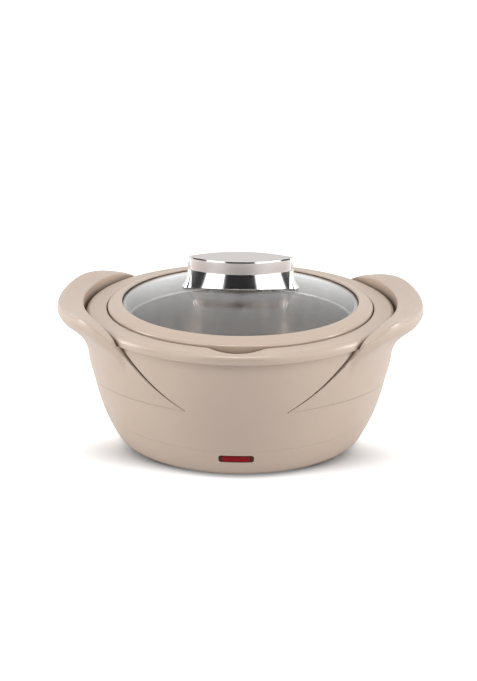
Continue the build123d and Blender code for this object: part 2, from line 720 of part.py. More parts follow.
holder -= block(LAMP_L, lens_back_y - OVERRUN, lamp_y, lens_z - LAMP_R / 2, lens_z + OVERRUN)
save("lamp_holder", holder)
resistor_x = LAMP_L / 2 + FIT + RESISTOR_L / 2
resistor = Pos(resistor_x, lamp_y, lens_z) * Rot(0, 90, 0) * Cylinder(RESISTOR_R, RESISTOR_L)
save("lamp_resistor", resistor)

# Inlet hood: back, sides and roof of the inlet pocket, held in the notch between base flange and bowl
inlet_z = (flange_top_z + pocket_high) / 2
socket_low_z = inlet_z - INLET_H / 2
socket_high_z = inlet_z + INLET_H / 2
hood = block(hood_w, hood_back_y, seam_r, flange_top_z, seam_z) & base_full
hood -= block(POCKET_W, inlet_y, seam_r + OVERRUN, flange_top_z - OVERRUN, pocket_high)
socket_hole_w = INLET_W + 2 * FIT
hole_back_y = hood_back_y - OVERRUN
hood -= block(socket_hole_w, hole_back_y, inlet_y + OVERRUN, socket_low_z - FIT, socket_high_z + FIT)
save("inlet_hood", hood)

# Mains inlet: socket with two pins, seated from outside in the back of the hood
socket_front = inlet_y + INLET_FLANGE_T
socket_back = inlet_y - INLET_L
flange_w = INLET_W + 2 * INLET_FLANGE
flange_low_z = socket_low_z - INLET_FLANGE / 2
flange_high_z = socket_high_z + INLET_FLANGE / 2
socket = block(INLET_W, socket_back, inlet_y, socket_low_z, socket_high_z)
socket += block(flange_w, inlet_y, socket_front, flange_low_z, flange_high_z)
cavity_low = socket_front - INLET_DEPTH
bore_outline = SlotCenterToCenter(PIN_PITCH, 2 * INLET_BORE_R)
bore_depth = INLET_DEPTH + OVERRUN
socket -= Pos(0, socket_front + OVERRUN, inlet_z) * extrude(Plane.XZ * bore_outline, bore_depth)
pin_tail_y = socket_back - PIN_TAIL
pin_tip_y = inlet_y - FIT
pins = []
for side in (-1, 1):
    pin_x = side * PIN_PITCH / 2
    pin_hole = extrude(Plane.XZ * Circle(PIN_R + THIN_FIT), INLET_L + OVERRUN)
    pin = extrude(Plane.XZ * Circle(PIN_R), pin_tip_y - pin_tail_y)
    socket -= Pos(pin_x, cavity_low + OVERRUN, inlet_z) * pin_hole
    pins.append(Pos(pin_x, pin_tip_y, inlet_z) * pin)
save("inlet_socket", socket)
save_group("inlet_pins", pins)

# Inner leads: straight runs with tangent bends between inlet, thermostat, heater, fuse and lamp
tab_z = stat_low_z - TAB_L / 2
tab_x = TAB_SPAN / 2 + TAB_T / 2 + THIN_FIT + LEAD_R


def lead(radius, *points, bend=LEAD_BEND):
    path = FilletPolyline(*points, radius=bend)
    start = Plane(origin=path @ 0, z_dir=path % 0)
    return sweep(start * Circle(radius), path)


pin_x = PIN_PITCH / 2
pin_gap_y = pin_tail_y - THIN_FIT
heater_tab_z = clamp_low_z - THIN_FIT
bend_y = (FUSE_Y + pin_gap_y) / 2
live_lead = lead(
    LEAD_R,
    (-pin_x, pin_gap_y, inlet_z),
    (-pin_x, bend_y, inlet_z),
    (-tab_x, FUSE_Y, tab_z),
    (-tab_x, 0, tab_z),
)
save("live_lead", live_lead)
drop_y = -STUD_PITCH_R / 2
save("heater_lead", lead(LEAD_R, (tab_x, 0, tab_z), (tab_x, drop_y, tab_z), (tab_x, drop_y, heater_tab_z)))
fuse_end_x = FUSE_L / 2 + THIN_FIT
turn_x = fuse_end_x + 2 * LEAD_BEND
return_lead = lead(
    LEAD_R,
    (-fuse_end_x, FUSE_Y, fuse_z),
    (-turn_x, FUSE_Y, fuse_z),
    (-turn_x, FUSE_Y, heater_tab_z),
    bend=2 * LEAD_R,
)
save("return_lead", return_lead)
neutral_lead = lead(
    LEAD_R,
    (fuse_end_x, FUSE_Y, fuse_z),
    (turn_x, FUSE_Y, fuse_z),
    (turn_x, bend_y, inlet_z),
    (pin_x, pin_gap_y - 2 * LEAD_BEND, inlet_z),
    (pin_x, pin_gap_y, inlet_z),
)
save("neutral_lead", neutral_lead)
splice_x = pin_x + PIN_R + THIN_FIT + LAMP_LEAD_R
splice_y = (pin_tail_y + socket_back) / 2
holder_end_x = HOLDER_L / 2 + 2 * LEAD_BEND
lamp_leads = []
for side, start_x in ((-1, LAMP_L / 2 + THIN_FIT), (1, resistor_x + RESISTOR_L / 2 + THIN_FIT)):
    path = (
        (start_x, lamp_y, lens_z),
        (holder_end_x, lamp_y, lens_z),
        (LAMP_LEAD_OUT, -LAMP_LEAD_OUT, tab_z),
        (LAMP_LEAD_OUT, LAMP_LEAD_OUT, tab_z),
        (splice_x, pin_gap_y - LEAD_BEND, inlet_z),
        (splice_x, splice_y, inlet_z),
    )
    lamp_leads.append(lead(LAMP_LEAD_R, *[(side * x, y, z) for x, y, z in path]))
save_group("lamp_leads", lamp_leads)

# Base plate, countersunk screws up into the body's bosses, and rubber feet
plate = rod(plate_r, FOOT_STAND, plate_top_z)


def sunk_screw(grow, tip_z):
    """Countersunk screw pointing up, grown for the hole that it sits in."""
    head_z = FOOT_STAND + SCREW_HEAD_T
    head = Cone(SCREW_HEAD_R + grow, SCREW_R + grow, SCREW_HEAD_T)
    return Pos(0, 0, (FOOT_STAND + head_z) / 2) * head + rod(SCREW_R + grow, FOOT_STAND, tip_z)


base_screw = sunk_screw(0.0, FOOT_STAND + SCREW_L)
sink = sunk_screw(SCREW_FIT, plate_top_z + OVERRUN)
for one in around(sink, 4, boss_pitch_r, 45):
    plate -= one
stem_hole = rod(FOOT_STEM_R + THIN_FIT, FOOT_STAND - OVERRUN, plate_top_z + OVERRUN)
for one in around(stem_hole, 4, foot_pitch_r, 45):
    plate -= one
save("base_plate", plate)
save_group("base_screws", around(base_screw, 4, boss_pitch_r, 45))
foot = rod(FOOT_R, 0, FOOT_STAND) + rod(FOOT_STEM_R, 0, plate_top_z + FOOT_BARB_H)
foot += rod(FOOT_BARB_R, plate_top_z, plate_top_z + FOOT_BARB_H)
save_group("rubber_feet", around(foot, 4, foot_pitch_r, 45))

# Lid glass: dome of one thickness, with two holes for the handle screws
crest_z = shelf_z + RING_CREST_H
glass_edge_z = crest_z - GLASS_SINK
dome_r = (glass_open_r**2 + GLASS_RISE**2) / (2 * GLASS_RISE)
dome_z = glass_edge_z + GLASS_RISE - dome_r


def dome(offset):
    """Ball whose cap is the glass's outer face, grown by offset."""
    return Pos(0, 0, dome_z) * Sphere(dome_r + offset)


def dome_top(r, offset=0.0):
    return dome_z + sqrt((dome_r + offset) ** 2 - r**2)


glass_low_z = shelf_z - BAND_H
grip_top_z = shelf_z + GRIP_TOP_H
glass = (rod(glass_r, glass_low_z, grip_top_z) & dome(0.0)) - dome(-GLASS_T)
for one in around(rod(GRIP_SCREW_R + FIT, glass_low_z, grip_top_z), 2, GRIP_SCREW_X):
    glass -= one
save("lid_glass", glass)

# Lid ring: channel-shaped ring over the edge of the glass
ring_low_z = ledge_z + SEAT_GAP + SEAL_T
edge_z = shelf_z + RING_EDGE_H
channel_r = lid_r - RING_WALL
gasket_out_r = glass_r + GASKET_T + THIN_FIT
nose_z = crest_z - RING_NOSE
gasket_top = GASKET_T / 2 + 2 * THIN_FIT
band_edge_z = dome_top(glass_r, -GLASS_T) - THIN_FIT - BAND_T
pocket_z = band_edge_z - THIN_FIT
crown_r = (lid_r + glass_open_r) / 2
crown_z = (edge_z + crest_z) / 2 + RING_BULGE
ring = spin(
    ThreePointArc((lid_r, edge_z), (crown_r, crown_z), (glass_open_r, crest_z)),
    *Polyline(
        (glass_open_r, crest_z),
        (glass_open_r, max(nose_z, dome_top(glass_open_r) + gasket_top)),
        (gasket_out_r + THIN_FIT, dome_top(gasket_out_r) + gasket_top),
        (gasket_out_r + THIN_FIT, pocket_z),
        (channel_r, pocket_z),
        (channel_r, ring_low_z),
        (lid_r, ring_low_z),
        (lid_r, edge_z),
    ).edges(),
)
save("lid_ring", ring)
leaf_r = glass_open_r + THIN_FIT
gasket = spin_points(
    (leaf_r, dome_top(leaf_r) + THIN_FIT),
    (glass_r + THIN_FIT, dome_top(glass_r) + THIN_FIT),
    (glass_r + THIN_FIT, pocket_z),
    (gasket_out_r, pocket_z),
    (gasket_out_r, dome_top(gasket_out_r) + GASKET_T / 2 + THIN_FIT),
    (leaf_r, dome_top(leaf_r) + GASKET_T / 2 + THIN_FIT),
)
save("glass_gasket", gasket)

# Lid band: steel skirt that plugs into the liner's mouth, with a flange under the glass and a rolled hem
band_in_r = band_r - BAND_T
band_low_z = shelf_z - BAND_H
band_under = -GLASS_T - THIN_FIT
band = spin_points(
    (band_in_r, dome_top(band_in_r, band_under) - THIN_FIT),
    (glass_r, dome_top(glass_r, band_under) - THIN_FIT),
    (glass_r, dome_top(glass_r, band_under - BAND_T)),
    (band_r, dome_top(band_r, band_under - BAND_T)),
    (band_r, band_low_z),
    (band_in_r, band_low_z),
)
band += Pos(0, 0, band_low_z) * Torus(band_r - HEM_R, HEM_R)
save("lid_band", band)

# Retaining ring: closes the channel from below and carries the soft seal that rests on the ledge
keeper_out_r = channel_r - FIT
keeper_in_r = rim_out_r + KEEPER_GAP
keeper_top = band_under - BAND_T - THIN_FIT
rim_clear_z = rim_top_z + FIT
shelf_in_r = band_r + FIT
keeper = spin_points(
    (shelf_in_r, dome_top(shelf_in_r, keeper_top)),
    (glass_r, dome_top(glass_r, keeper_top)),
    (keeper_out_r, dome_top(glass_r, keeper_top)),
    (keeper_out_r, ring_low_z),
    (keeper_in_r, ring_low_z),
    (keeper_in_r, rim_clear_z),
    (shelf_in_r, rim_clear_z),
)
save("retaining_ring", keeper)
seal = rod(keeper_out_r, ledge_z + SEAT_GAP, ring_low_z)
seal -= rod(keeper_in_r, ledge_z - OVERRUN, ring_low_z + OVERRUN)
save("lid_seal", seal)


# Lid handle: chrome shell, eye-shaped from above, with an upright band and a flared foot
grip_end_x = GRIP_CORNER_X + GRIP_END_BOW
grip_foot_x = grip_end_x + GRIP_FOOT_FLARE
grip_foot_half = GRIP_HALF + GRIP_SIDE_FLARE


def grip_face(end_x, half, shrink, z):
    """Eye-shaped outline: two long arcs between four corners, and half an ellipse at each end."""
    corner = GRIP_CORNER_X - shrink
    end = GRIP_END_HALF - shrink / 2
    bow = end_x - GRIP_CORNER_X
    deep = half - shrink
    edges = [
        ThreePointArc((-corner, -end), (0, -deep), (corner, -end)),
        EllipticalCenterArc((corner, 0), bow, end, -90, arc_size=180),
        ThreePointArc((corner, end), (0, deep), (-corner, end)),
        EllipticalCenterArc((-corner, 0), bow, end, 90, arc_size=180),
    ]
    return Pos(0, 0, z) * make_face(edges)


band_z = grip_top_z - GRIP_BAND
foot_z = dome_top(grip_foot_x)
mid_z = (band_z + foot_z) / 2
mid_x = grip_end_x + GRIP_FOOT_FLARE / 4
mid_half = GRIP_HALF + GRIP_SIDE_FLARE / 4
flare_faces = [
    grip_face(grip_foot_x, grip_foot_half, 0.0, foot_z),
    grip_face(mid_x, mid_half, 0.0, mid_z),
    grip_face(grip_end_x, GRIP_HALF, 0.0, band_z),
]
edge_faces = [
    grip_face(grip_end_x, GRIP_HALF, 0.0, grip_top_z - GRIP_EDGE),
    grip_face(grip_end_x, GRIP_HALF, GRIP_EDGE, grip_top_z),
]
grip = extrude(grip_face(grip_end_x, GRIP_HALF, 0.0, band_z), GRIP_BAND - GRIP_EDGE)
grip += loft(edge_faces, ruled=True)
grip += loft(flare_faces)
roof_z = grip_top_z - GRIP_WALL
grip -= extrude(grip_face(grip_end_x, GRIP_HALF, GRIP_WALL, foot_z), roof_z - foot_z)
grip -= dome(GRIP_LIFT)
save("lid_handle", grip)
insert_shrink = GRIP_WALL + FIT
insert = extrude(grip_face(grip_end_x, GRIP_HALF, insert_shrink, foot_z), roof_z - FIT - foot_z)
insert -= dome(PAD_T + 2 * THIN_FIT)
screw_tip_z = dome_top(GRIP_SCREW_X) + GRIP_SCREW_BITE
for one in around(rod(GRIP_SCREW_R + SCREW_FIT, glass_low_z, screw_tip_z + THIN_FIT), 2, GRIP_SCREW_X):
    insert -= one
save("handle_insert", insert)
under_r = -GLASS_T - THIN_FIT


def dome_layer(radius, low, high):
    """Round disc at a handle screw, bent to the dome between two offsets from its outer face."""
    disc = Pos(GRIP_SCREW_X, 0, 0) * rod(radius, glass_low_z, grip_top_z) & dome(high)
    disc -= dome(low)
    return disc - Pos(GRIP_SCREW_X, 0, 0) * rod(GRIP_SCREW_R + SCREW_FIT, glass_low_z, grip_top_z)


pad = dome_layer(PAD_R, THIN_FIT, PAD_T + THIN_FIT)
save_group("handle_pads", [pad, mirror(pad, about=Plane.YZ)])
washer = dome_layer(WASHER_R, under_r - WASHER_T, under_r)
save_group("handle_washers", [washer, mirror(washer, about=Plane.YZ)])
head_top_z = dome_top(GRIP_SCREW_X + GRIP_HEAD_R, under_r - WASHER_T) - THIN_FIT
head_low_z = head_top_z - GRIP_HEAD_T
grip_screw = rod(GRIP_HEAD_R, head_low_z, head_top_z) + rod(GRIP_SCREW_R, head_low_z, screw_tip_z)
save_group("handle_screws", around(grip_screw, 2, GRIP_SCREW_X))
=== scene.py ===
from math import cos, pi, radians, sin, tan

import bmesh
import bpy
import numpy as np
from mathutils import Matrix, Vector


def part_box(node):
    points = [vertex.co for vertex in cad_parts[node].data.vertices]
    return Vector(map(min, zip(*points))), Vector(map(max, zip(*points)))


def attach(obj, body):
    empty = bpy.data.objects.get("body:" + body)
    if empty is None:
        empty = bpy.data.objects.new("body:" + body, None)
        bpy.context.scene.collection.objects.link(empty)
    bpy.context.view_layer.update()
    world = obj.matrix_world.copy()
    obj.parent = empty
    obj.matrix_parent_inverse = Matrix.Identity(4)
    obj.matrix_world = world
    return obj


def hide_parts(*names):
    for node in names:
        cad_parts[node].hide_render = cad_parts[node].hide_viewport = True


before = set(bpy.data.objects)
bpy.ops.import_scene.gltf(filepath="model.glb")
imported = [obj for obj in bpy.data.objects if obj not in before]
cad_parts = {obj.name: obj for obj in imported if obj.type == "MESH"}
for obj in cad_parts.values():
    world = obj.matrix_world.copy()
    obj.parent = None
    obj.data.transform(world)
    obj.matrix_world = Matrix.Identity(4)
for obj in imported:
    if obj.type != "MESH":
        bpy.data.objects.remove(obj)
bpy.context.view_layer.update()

# Rubber feet: four soft black pads, moulded with a barbed stem that is pushed through the base
# plate. They keep the casserole 2 mm off the table, and their lower rim is rounded.
merge_gap = 2e-6
tiny = 1e-9
crease_angle = radians(30)


def settle(name, mesh):
    """Piece from a raw mesh: points that fall together are merged, faces turn outward, and edges
    sharper than the crease angle stay crisp while all others are shaded smooth."""
    shape = bmesh.new()
    shape.from_mesh(mesh)
    bmesh.ops.remove_doubles(shape, verts=shape.verts, dist=merge_gap)
    bmesh.ops.dissolve_degenerate(shape, edges=shape.edges, dist=merge_gap)
    bmesh.ops.recalc_face_normals(shape, faces=shape.faces)
    shape.to_mesh(mesh)
    shape.free()
    mesh.shade_smooth()
    mesh.set_sharp_from_angle(angle=crease_angle)
    piece = bpy.data.objects.new(name, mesh)
    bpy.context.scene.collection.objects.link(piece)
    return piece


def skin(name, grid, close_rows=True, close_columns=True, polish=None):
    """Surface through a grid of points, one face per cell. A closed direction joins the last row or
    column to the first. Polish, where given, is a value for each point or column that the material reads."""
    rows, columns = grid.shape[:2]
    index = np.arange(rows * columns).reshape(rows, columns)
    if close_rows:
        index = np.vstack((index, index[:1]))
    if close_columns:
        index = np.hstack((index, index[:, :1]))
    cells = np.stack((index[:-1, :-1], index[1:, :-1], index[1:, 1:], index[:-1, 1:]), axis=-1)
    mesh = bpy.data.meshes.new(name)
    mesh.from_pydata(grid.reshape(-1, 3).tolist(), [], cells.reshape(-1, 4).tolist())
    if polish is not None:
        shine = mesh.attributes.new("polish", "FLOAT", "POINT")
        shine.data.foreach_set("value", np.broadcast_to(polish, (rows, columns)).reshape(-1))
    return settle(name, mesh)


def swept_round(r, z, angle, centre=(0.0, 0.0)):
    """Grid of outline points carried round an upright axis: (r, z) goes to (r cos a, r sin a, z)."""
    x = centre[0] + r * np.cos(angle)[:, None]
    y = centre[1] + r * np.sin(angle)[:, None]
    return np.stack((x, y, np.broadcast_to(z, x.shape)), axis=-1)


def turned(name, outline, steps=288, centre=(0.0, 0.0), polish=None):
    """Solid of revolution: a closed outline of (r, z) points carried once round its axis."""
    angle = np.linspace(0, 2 * pi, steps, endpoint=False)
    return skin(name, swept_round(outline[:, 0], outline[:, 1], angle, centre), polish=polish)


def eased(*corners, steps=6):
    """Closed outline with round corners: each corner (r, z, rounding) becomes an arc that touches both of
    its sides, found as a blend of its two end spokes about the arc's centre. A corner (r, z) stays sharp."""
    table = np.array([(*given, 0.0)[:3] for given in corners])
    spot = table[:, :2]
    rounding = table[:, 2:]
    back = np.roll(spot, 1, axis=0) - spot
    ahead = np.roll(spot, -1, axis=0) - spot
    back /= np.linalg.norm(back, axis=1, keepdims=True)
    ahead /= np.linalg.norm(ahead, axis=1, keepdims=True)
    half = np.arccos(np.clip((back * ahead).sum(axis=1, keepdims=True), -1, 1)) / 2
    inward = back + ahead
    inward /= np.maximum(np.linalg.norm(inward, axis=1, keepdims=True), tiny)
    centre = spot + inward * rounding / np.sin(half)
    first = (spot + back * rounding / np.tan(half) - centre)[:, None]
    last = (spot + ahead * rounding / np.tan(half) - centre)[:, None]
    sweep = (pi - 2 * half)[:, None]
    t = np.linspace(0, 1, steps)[None, :, None]
    arc = np.sin((1 - t) * sweep) * first + np.sin(t * sweep) * last
    points = (centre[:, None] + arc / np.maximum(np.sin(sweep), tiny)).reshape(-1, 2)
    step = np.linalg.norm(points - np.roll(points, 1, axis=0), axis=1)
    return points[step > merge_gap]


def put(owner, taker, key, value):
    """Fills one input of a node: with a link from another node's output, or else with a constant."""
    if isinstance(value, bpy.types.NodeSocket):
        owner.node_tree.links.new(value, taker.inputs[key])
    else:
        taker.inputs[key].default_value = value


def node(owner, kind, *inputs, **settings):
    """New node in a material or world. Each input is a pair: a socket's name or number, and what goes in."""
    made = owner.node_tree.nodes.new(kind)
    for key, value in settings.items():
        setattr(made, key, value)
    for key, value in inputs:
        put(owner, made, key, value)
    return made


def feed(material, name, value):
    """Fills one of the shader's own sockets."""
    put(material, material.node_tree.nodes["Principled BSDF"], name, value)


def finish(name, colour, roughness, metallic=0.0):
    """New material with its plain values on the shader's own sockets."""
    material = bpy.data.materials.new(name)
    material.use_nodes = True
    feed(material, "Base Color", (*colour, 1.0))
    feed(material, "Roughness", roughness)
    feed(material, "Metallic", metallic)
    return material


def own_place(material):
    """Where a point lies on its piece, in the piece's own metres."""
    return node(material, "ShaderNodeTexCoord").outputs["Object"]


def noise_over(material, place, scale, detail=3.0):
    """Cloudy noise over a place. Gives its value socket."""
    noise = node(material, "ShaderNodeTexNoise", ("Vector", place), ("Scale", scale), ("Detail", detail))
    return noise.outputs["Fac"]


def speckle(material, scale, stretch=(1.0, 1.0, 1.0)):
    """Noise over the piece, stretched along an axis where asked."""
    mapping = node(material, "ShaderNodeMapping", ("Vector", own_place(material)), ("Scale", stretch))
    return noise_over(material, mapping.outputs["Vector"], scale)


def mixed(material, share, first, second, data_type="RGBA", blend_type="MIX"):
    """Colour or number that goes from the first to the second with a share."""
    inputs = (("Factor", share), ("A", first), ("B", second))
    blend = node(material, "ShaderNodeMix", *inputs, data_type=data_type, blend_type=blend_type)
    return blend.outputs["Result"]


def toned(colour, share):
    """Colour made darker or lighter by a share."""
    return [min(c * share, 1.0) for c in colour]


def shade_between(material, value, dark, light):
    """Colour that runs from dark to light with a value."""
    return mixed(material, value, (*dark, 1.0), (*light, 1.0))


def range_between(material, value, low, high, start=0.3, end=0.7):
    """Number that runs from low to high while a value goes from start to end."""
    limits = (("From Min", start), ("From Max", end), ("To Min", low), ("To Max", high))
    return node(material, "ShaderNodeMapRange", ("Value", value), *limits).outputs["Result"]


def relief(material, value, depth):
    """Fine surface texture of the given depth in metres."""
    bump = node(material, "ShaderNodeBump", ("Height", value), ("Distance", depth))
    feed(material, "Normal", bump.outputs["Normal"])


def moulded(name, colour, roughness, grain=1800.0, depth=1.5e-5, mottle=0.035, cloud=45.0, uneven=0.12):
    """Moulded plastic or rubber: a slight mottle in its colour, uneven gloss and a spark-eroded grain."""
    material = finish(name, colour, roughness)
    patches = speckle(material, cloud)
    fine = speckle(material, grain)
    tone = shade_between(material, patches, toned(colour, 1 - mottle), toned(colour, 1 + mottle))
    feed(material, "Base Color", tone)
    gloss = range_between(material, fine, roughness * (1 - uneven), roughness * (1 + uneven))
    feed(material, "Roughness", gloss)
    relief(material, fine, depth)
    return material


def dress(piece, body, slot, material, *nodes):
    """Gives a piece its finish, its body and the solids that it stands for. The slot name is not used."""
    piece.data.materials.clear()
    piece.data.materials.append(material)
    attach(piece, body)
    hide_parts(*nodes)


crisp_round = 0.0002
slight_round = 0.0003
full_round = 0.0006
foot_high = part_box("rubber_feet")[1]
stand_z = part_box("base_plate")[0][2]
foot_r = 0.009
foot_pitch = (foot_high[0] - foot_r) * 2**0.5
stem_r = 0.0028
stem_z = foot_high[2]
barb_r = 0.0036
barb_h = 0.002
foot_outline = eased(
    (0.0, 0.0),
    (foot_r, 0.0, full_round),
    (foot_r, stand_z, slight_round),
    (stem_r, stand_z),
    (stem_r, stem_z - barb_h),
    (barb_r, stem_z - barb_h, slight_round),
    (stem_r, stem_z, crisp_round),
    (0.0, stem_z),
)
foot_rubber = moulded("foot_rubber", (0.022, 0.021, 0.02), 0.78, grain=900.0, depth=4e-5, mottle=0.12)
quarter_turns = [radians(45 + 90 * number) for number in range(4)]
for number, turn in enumerate(quarter_turns, 1):
    middle = (foot_pitch * cos(turn), foot_pitch * sin(turn))
    foot = turned(f"rubber_foot_{number}", foot_outline, steps=72, centre=middle)
    dress(foot, "body", "foot_rubber", foot_rubber, "rubber_feet")


# Base plate and its screws: a matt moulded disc that closes the bottom, with four countersunk
# zinc-plated screws up into the body's bosses. The other small steel fittings are plated alike.
def coat(material, *nodes):
    """Gives solids that keep their shape a finish."""
    for name in nodes:
        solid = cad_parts[name]
        if not solid.material_slots:
            solid.data.materials.append(material)
        for held in solid.material_slots:
            held.material = material


def plated(name, colour, roughness, scale=700.0, depth=4e-6, cloud=120.0, dull=0.88):
    """Plated or rolled metal: cloudy plating tone, faint streaks along X and uneven gloss."""
    material = finish(name, colour, roughness, 1.0)
    streak = speckle(material, scale, stretch=(0.12, 1.0, 1.0))
    tone = shade_between(material, speckle(material, cloud), toned(colour, dull), colour)
    feed(material, "Base Color", tone)
    feed(material, "Roughness", range_between(material, streak, roughness * 0.8, roughness * 1.25))
    relief(material, streak, depth)
    return material


plate_plastic = moulded("plate_plastic", (0.30, 0.235, 0.18), 0.62, grain=1100.0, depth=3e-5, mottle=0.06)
coat(plate_plastic, "base_plate")
screw_steel = plated("plated_steel", (0.56, 0.55, 0.51), 0.34)
coat(screw_steel, "base_screws", "wing_screws", "bracket_screws", "liner_studs", "stud_nuts", "handle_screws")
coat(screw_steel, "heater_clamp", "thermostat_bracket", "fuse_clip")


# Base housing: the lower, inward-leaning part of the bowl, moulded in satin beige plastic with a
# flange for the plate, a window for the indicator and a notch for the inlet's hood.
def fed(material, name):
    """What goes into one of the shader's own sockets so far."""
    return material.node_tree.nodes["Principled BSDF"].inputs[name].links[0].from_socket


def shaded_hollows(material, reach, darkest, closed=0.15, free=0.75):
    """Painted shade: deepens the colour in narrow gaps and corners, where little light gets in."""
    openness = node(material, "ShaderNodeAmbientOcclusion", ("Distance", reach), samples=8)
    light = range_between(material, openness.outputs["AO"], darkest, 1.0, closed, free)
    colour = fed(material, "Base Color")
    feed(material, "Base Color", mixed(material, 1.0, colour, light, blend_type="MULTIPLY"))


def polished_edges(material, roughness):
    """Smoother gloss along a piece's edges: the given roughness where its polish attribute is 1."""
    polish = node(material, "ShaderNodeAttribute", attribute_name="polish").outputs["Fac"]
    gloss = mixed(material, polish, fed(material, "Roughness"), roughness, data_type="FLOAT")
    feed(material, "Roughness", gloss)


def bowed(low, high, bulge):
    """Circle through two outline points that stands out by bulge between them: its centre and radius."""
    low = np.array(low)
    high = np.array(high)
    chord = high - low
    run = np.linalg.norm(chord)
    out = np.array((chord[1], -chord[0])) / run
    radius = (run**2 / 4 + bulge**2) / (2 * bulge)
    centre = (low + high) / 2 + out * (bulge - radius)
    return centre[0], centre[1], radius


def bowed_r(circle, z, inset=0.0):
    """Radius of a bowed wall at height z, inset inside its outer face."""
    return circle[0] + np.sqrt((circle[2] - inset) ** 2 - (z - circle[1]) ** 2)


def wall_points(circle, heights, inset=0.0):
    """Outline points of a bowed wall at the given heights."""
    return [(bowed_r(circle, z, inset), z) for z in heights]


def carve(piece, tool):
    """Cuts a closed tool out of a piece and keeps the crisp edges of the cut."""
    cut = piece.modifiers.new("cut", "BOOLEAN")
    cut.operation = "DIFFERENCE"
    cut.solver = "EXACT"
    cut.object = tool
    shaped = piece.evaluated_get(bpy.context.evaluated_depsgraph_get())
    mesh = bpy.data.meshes.new_from_object(shaped)
    piece.modifiers.clear()
    piece.data = mesh
    mesh.shade_smooth()
    mesh.set_sharp_from_angle(angle=crease_angle)
    bpy.data.objects.remove(tool)


def drill(piece, centre, hole_r, low_z, high_z, steps):
    """Cuts an upright round hole through a piece, between two heights."""
    outline = eased((0.0, low_z), (hole_r, low_z), (hole_r, high_z), (0.0, high_z))
    carve(piece, turned("drill", outline, steps, centre))


def block(name, x_half, y_span, z_span, rounding, steps=5):
    """Bar along Y with rounded long edges: a rounded rectangle in X and Z carried from end to end."""
    z_low, z_high = z_span
    loop = eased(
        (-x_half, z_low, rounding),
        (x_half, z_low, rounding),
        (x_half, z_high, rounding),
        (-x_half, z_high, rounding),
        steps=steps,
    )
    middle = loop.mean(axis=0)
    shares = np.array((0.0, 1.0, 1.0, 0.0))
    spread = middle + (loop[:, None] - middle) * shares[None, :, None]
    y = np.broadcast_to(np.repeat(y_span, 2), spread.shape[:2])
    return skin(name, np.stack((spread[..., 0], y, spread[..., 1]), axis=-1), close_columns=False)


beige = (0.616, 0.487, 0.394)
beige_plastic = moulded("beige_plastic", beige, 0.37, grain=2200.0, depth=9e-6, mottle=0.014)
feed(beige_plastic, "Specular IOR Level", 0.75)
feed(beige_plastic, "IOR", 1.48)
# Painted shade in the narrow gaps and corners of all the beige parts.
shaded_hollows(beige_plastic, reach=0.009, darkest=0.45)
polished_edges(beige_plastic, roughness=0.16)
soft_round = 0.0004
base_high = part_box("base_housing")[1]
seam_r = base_high[0]
seam_z = base_high[2]
seam_ease = 0.0001
base_foot_r = 0.1052
base_round = 0.0075
base_bulge = 0.0007
base_wall = 0.0025
wall_start = 0.0072
wall_stop = 0.003
plate_hole_r = 0.0983
plate_top_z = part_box("base_plate")[1][2]
flange_r = 0.084
flange_t = 0.0025
flange_top_z = plate_top_z + flange_t
base_circle = bowed((base_foot_r, stand_z), (seam_r, seam_z), base_bulge)
wall_heights = np.linspace(stand_z + wall_start, seam_z - wall_stop, 14)
base_housing = turned(
    "base_housing_shell",
    eased(
        (base_foot_r, stand_z, base_round),
        *wall_points(base_circle, wall_heights),
        (seam_r, seam_z, seam_ease),
        (bowed_r(base_circle, seam_z, base_wall), seam_z),
        *wall_points(base_circle, wall_heights[::-1][:-2], base_wall),
        (bowed_r(base_circle, flange_top_z, base_wall), flange_top_z, soft_round),
        (flange_r, flange_top_z, crisp_round),
        (flange_r, plate_top_z, crisp_round),
        (plate_hole_r, plate_top_z),
        (plate_hole_r, stand_z, soft_round),
    ),
)
hood_low, hood_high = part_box("inlet_hood")
hood_fit = 0.0003
overrun = 0.006
notch_block = block(
    "notch_block",
    hood_high[0] + hood_fit,
    (hood_low[1] - hood_fit, seam_r + overrun),
    (hood_low[2], seam_z + overrun),
    crisp_round,
)
carve(base_housing, notch_block)
lens_low, lens_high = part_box("indicator_lens")
lens_hook = 0.0004
lens_half = lens_high[0] - lens_hook
lens_rise = (lens_high[2] - lens_low[2]) / 2
lens_z = (lens_low[2] + lens_high[2]) / 2
lens_corner = 0.0016
window_gap = 0.00015
frame_w = 0.0006
window_grow = frame_w + window_gap
window_hole = block(
    "window_hole",
    lens_half + window_grow,
    (-seam_r - overrun, -flange_r),
    (lens_z - lens_rise - window_grow, lens_z + lens_rise + window_grow),
    lens_corner + window_grow,
    steps=9,
)
carve(base_housing, window_hole)
boss_pitch = 0.092
screw_hole_r = 0.00175
for turn in quarter_turns:
    boss = (boss_pitch * cos(turn), boss_pitch * sin(turn))
    drill(base_housing, boss, screw_hole_r, 0.0, flange_top_z + overrun, steps=24)
dress(base_housing, "body", "beige_plastic", beige_plastic, "base_housing")

# Indicator: a red lens bar in a dark frame, clipped into the window of the base housing, with a
# small lamp in a holder behind it. The lens stands slightly proud and follows the base's curve.
loop_steps = 160
loop_fine = 400
off_axis = 1e-4


def bar_loop(grow):
    """Points (x, z) evenly spaced along a rounded bar that is grown by the given amount: a circle whose
    quarters are pushed apart to the bar's corners."""
    t = np.linspace(0, 2 * pi, loop_fine, endpoint=False) + off_axis
    core_x = lens_half - lens_corner
    core_z = lens_rise - lens_corner
    x = np.sign(np.cos(t)) * core_x + (lens_corner + grow) * np.cos(t)
    z = lens_z + np.sign(np.sin(t)) * core_z + (lens_corner + grow) * np.sin(t)
    x = np.append(x, x[0])
    z = np.append(z, z[0])
    length = np.concatenate(((0.0,), np.cumsum(np.hypot(np.diff(x), np.diff(z)))))
    stops = np.linspace(0, length[-1], loop_steps, endpoint=False)
    return np.interp(stops, length, x), np.interp(stops, length, z)


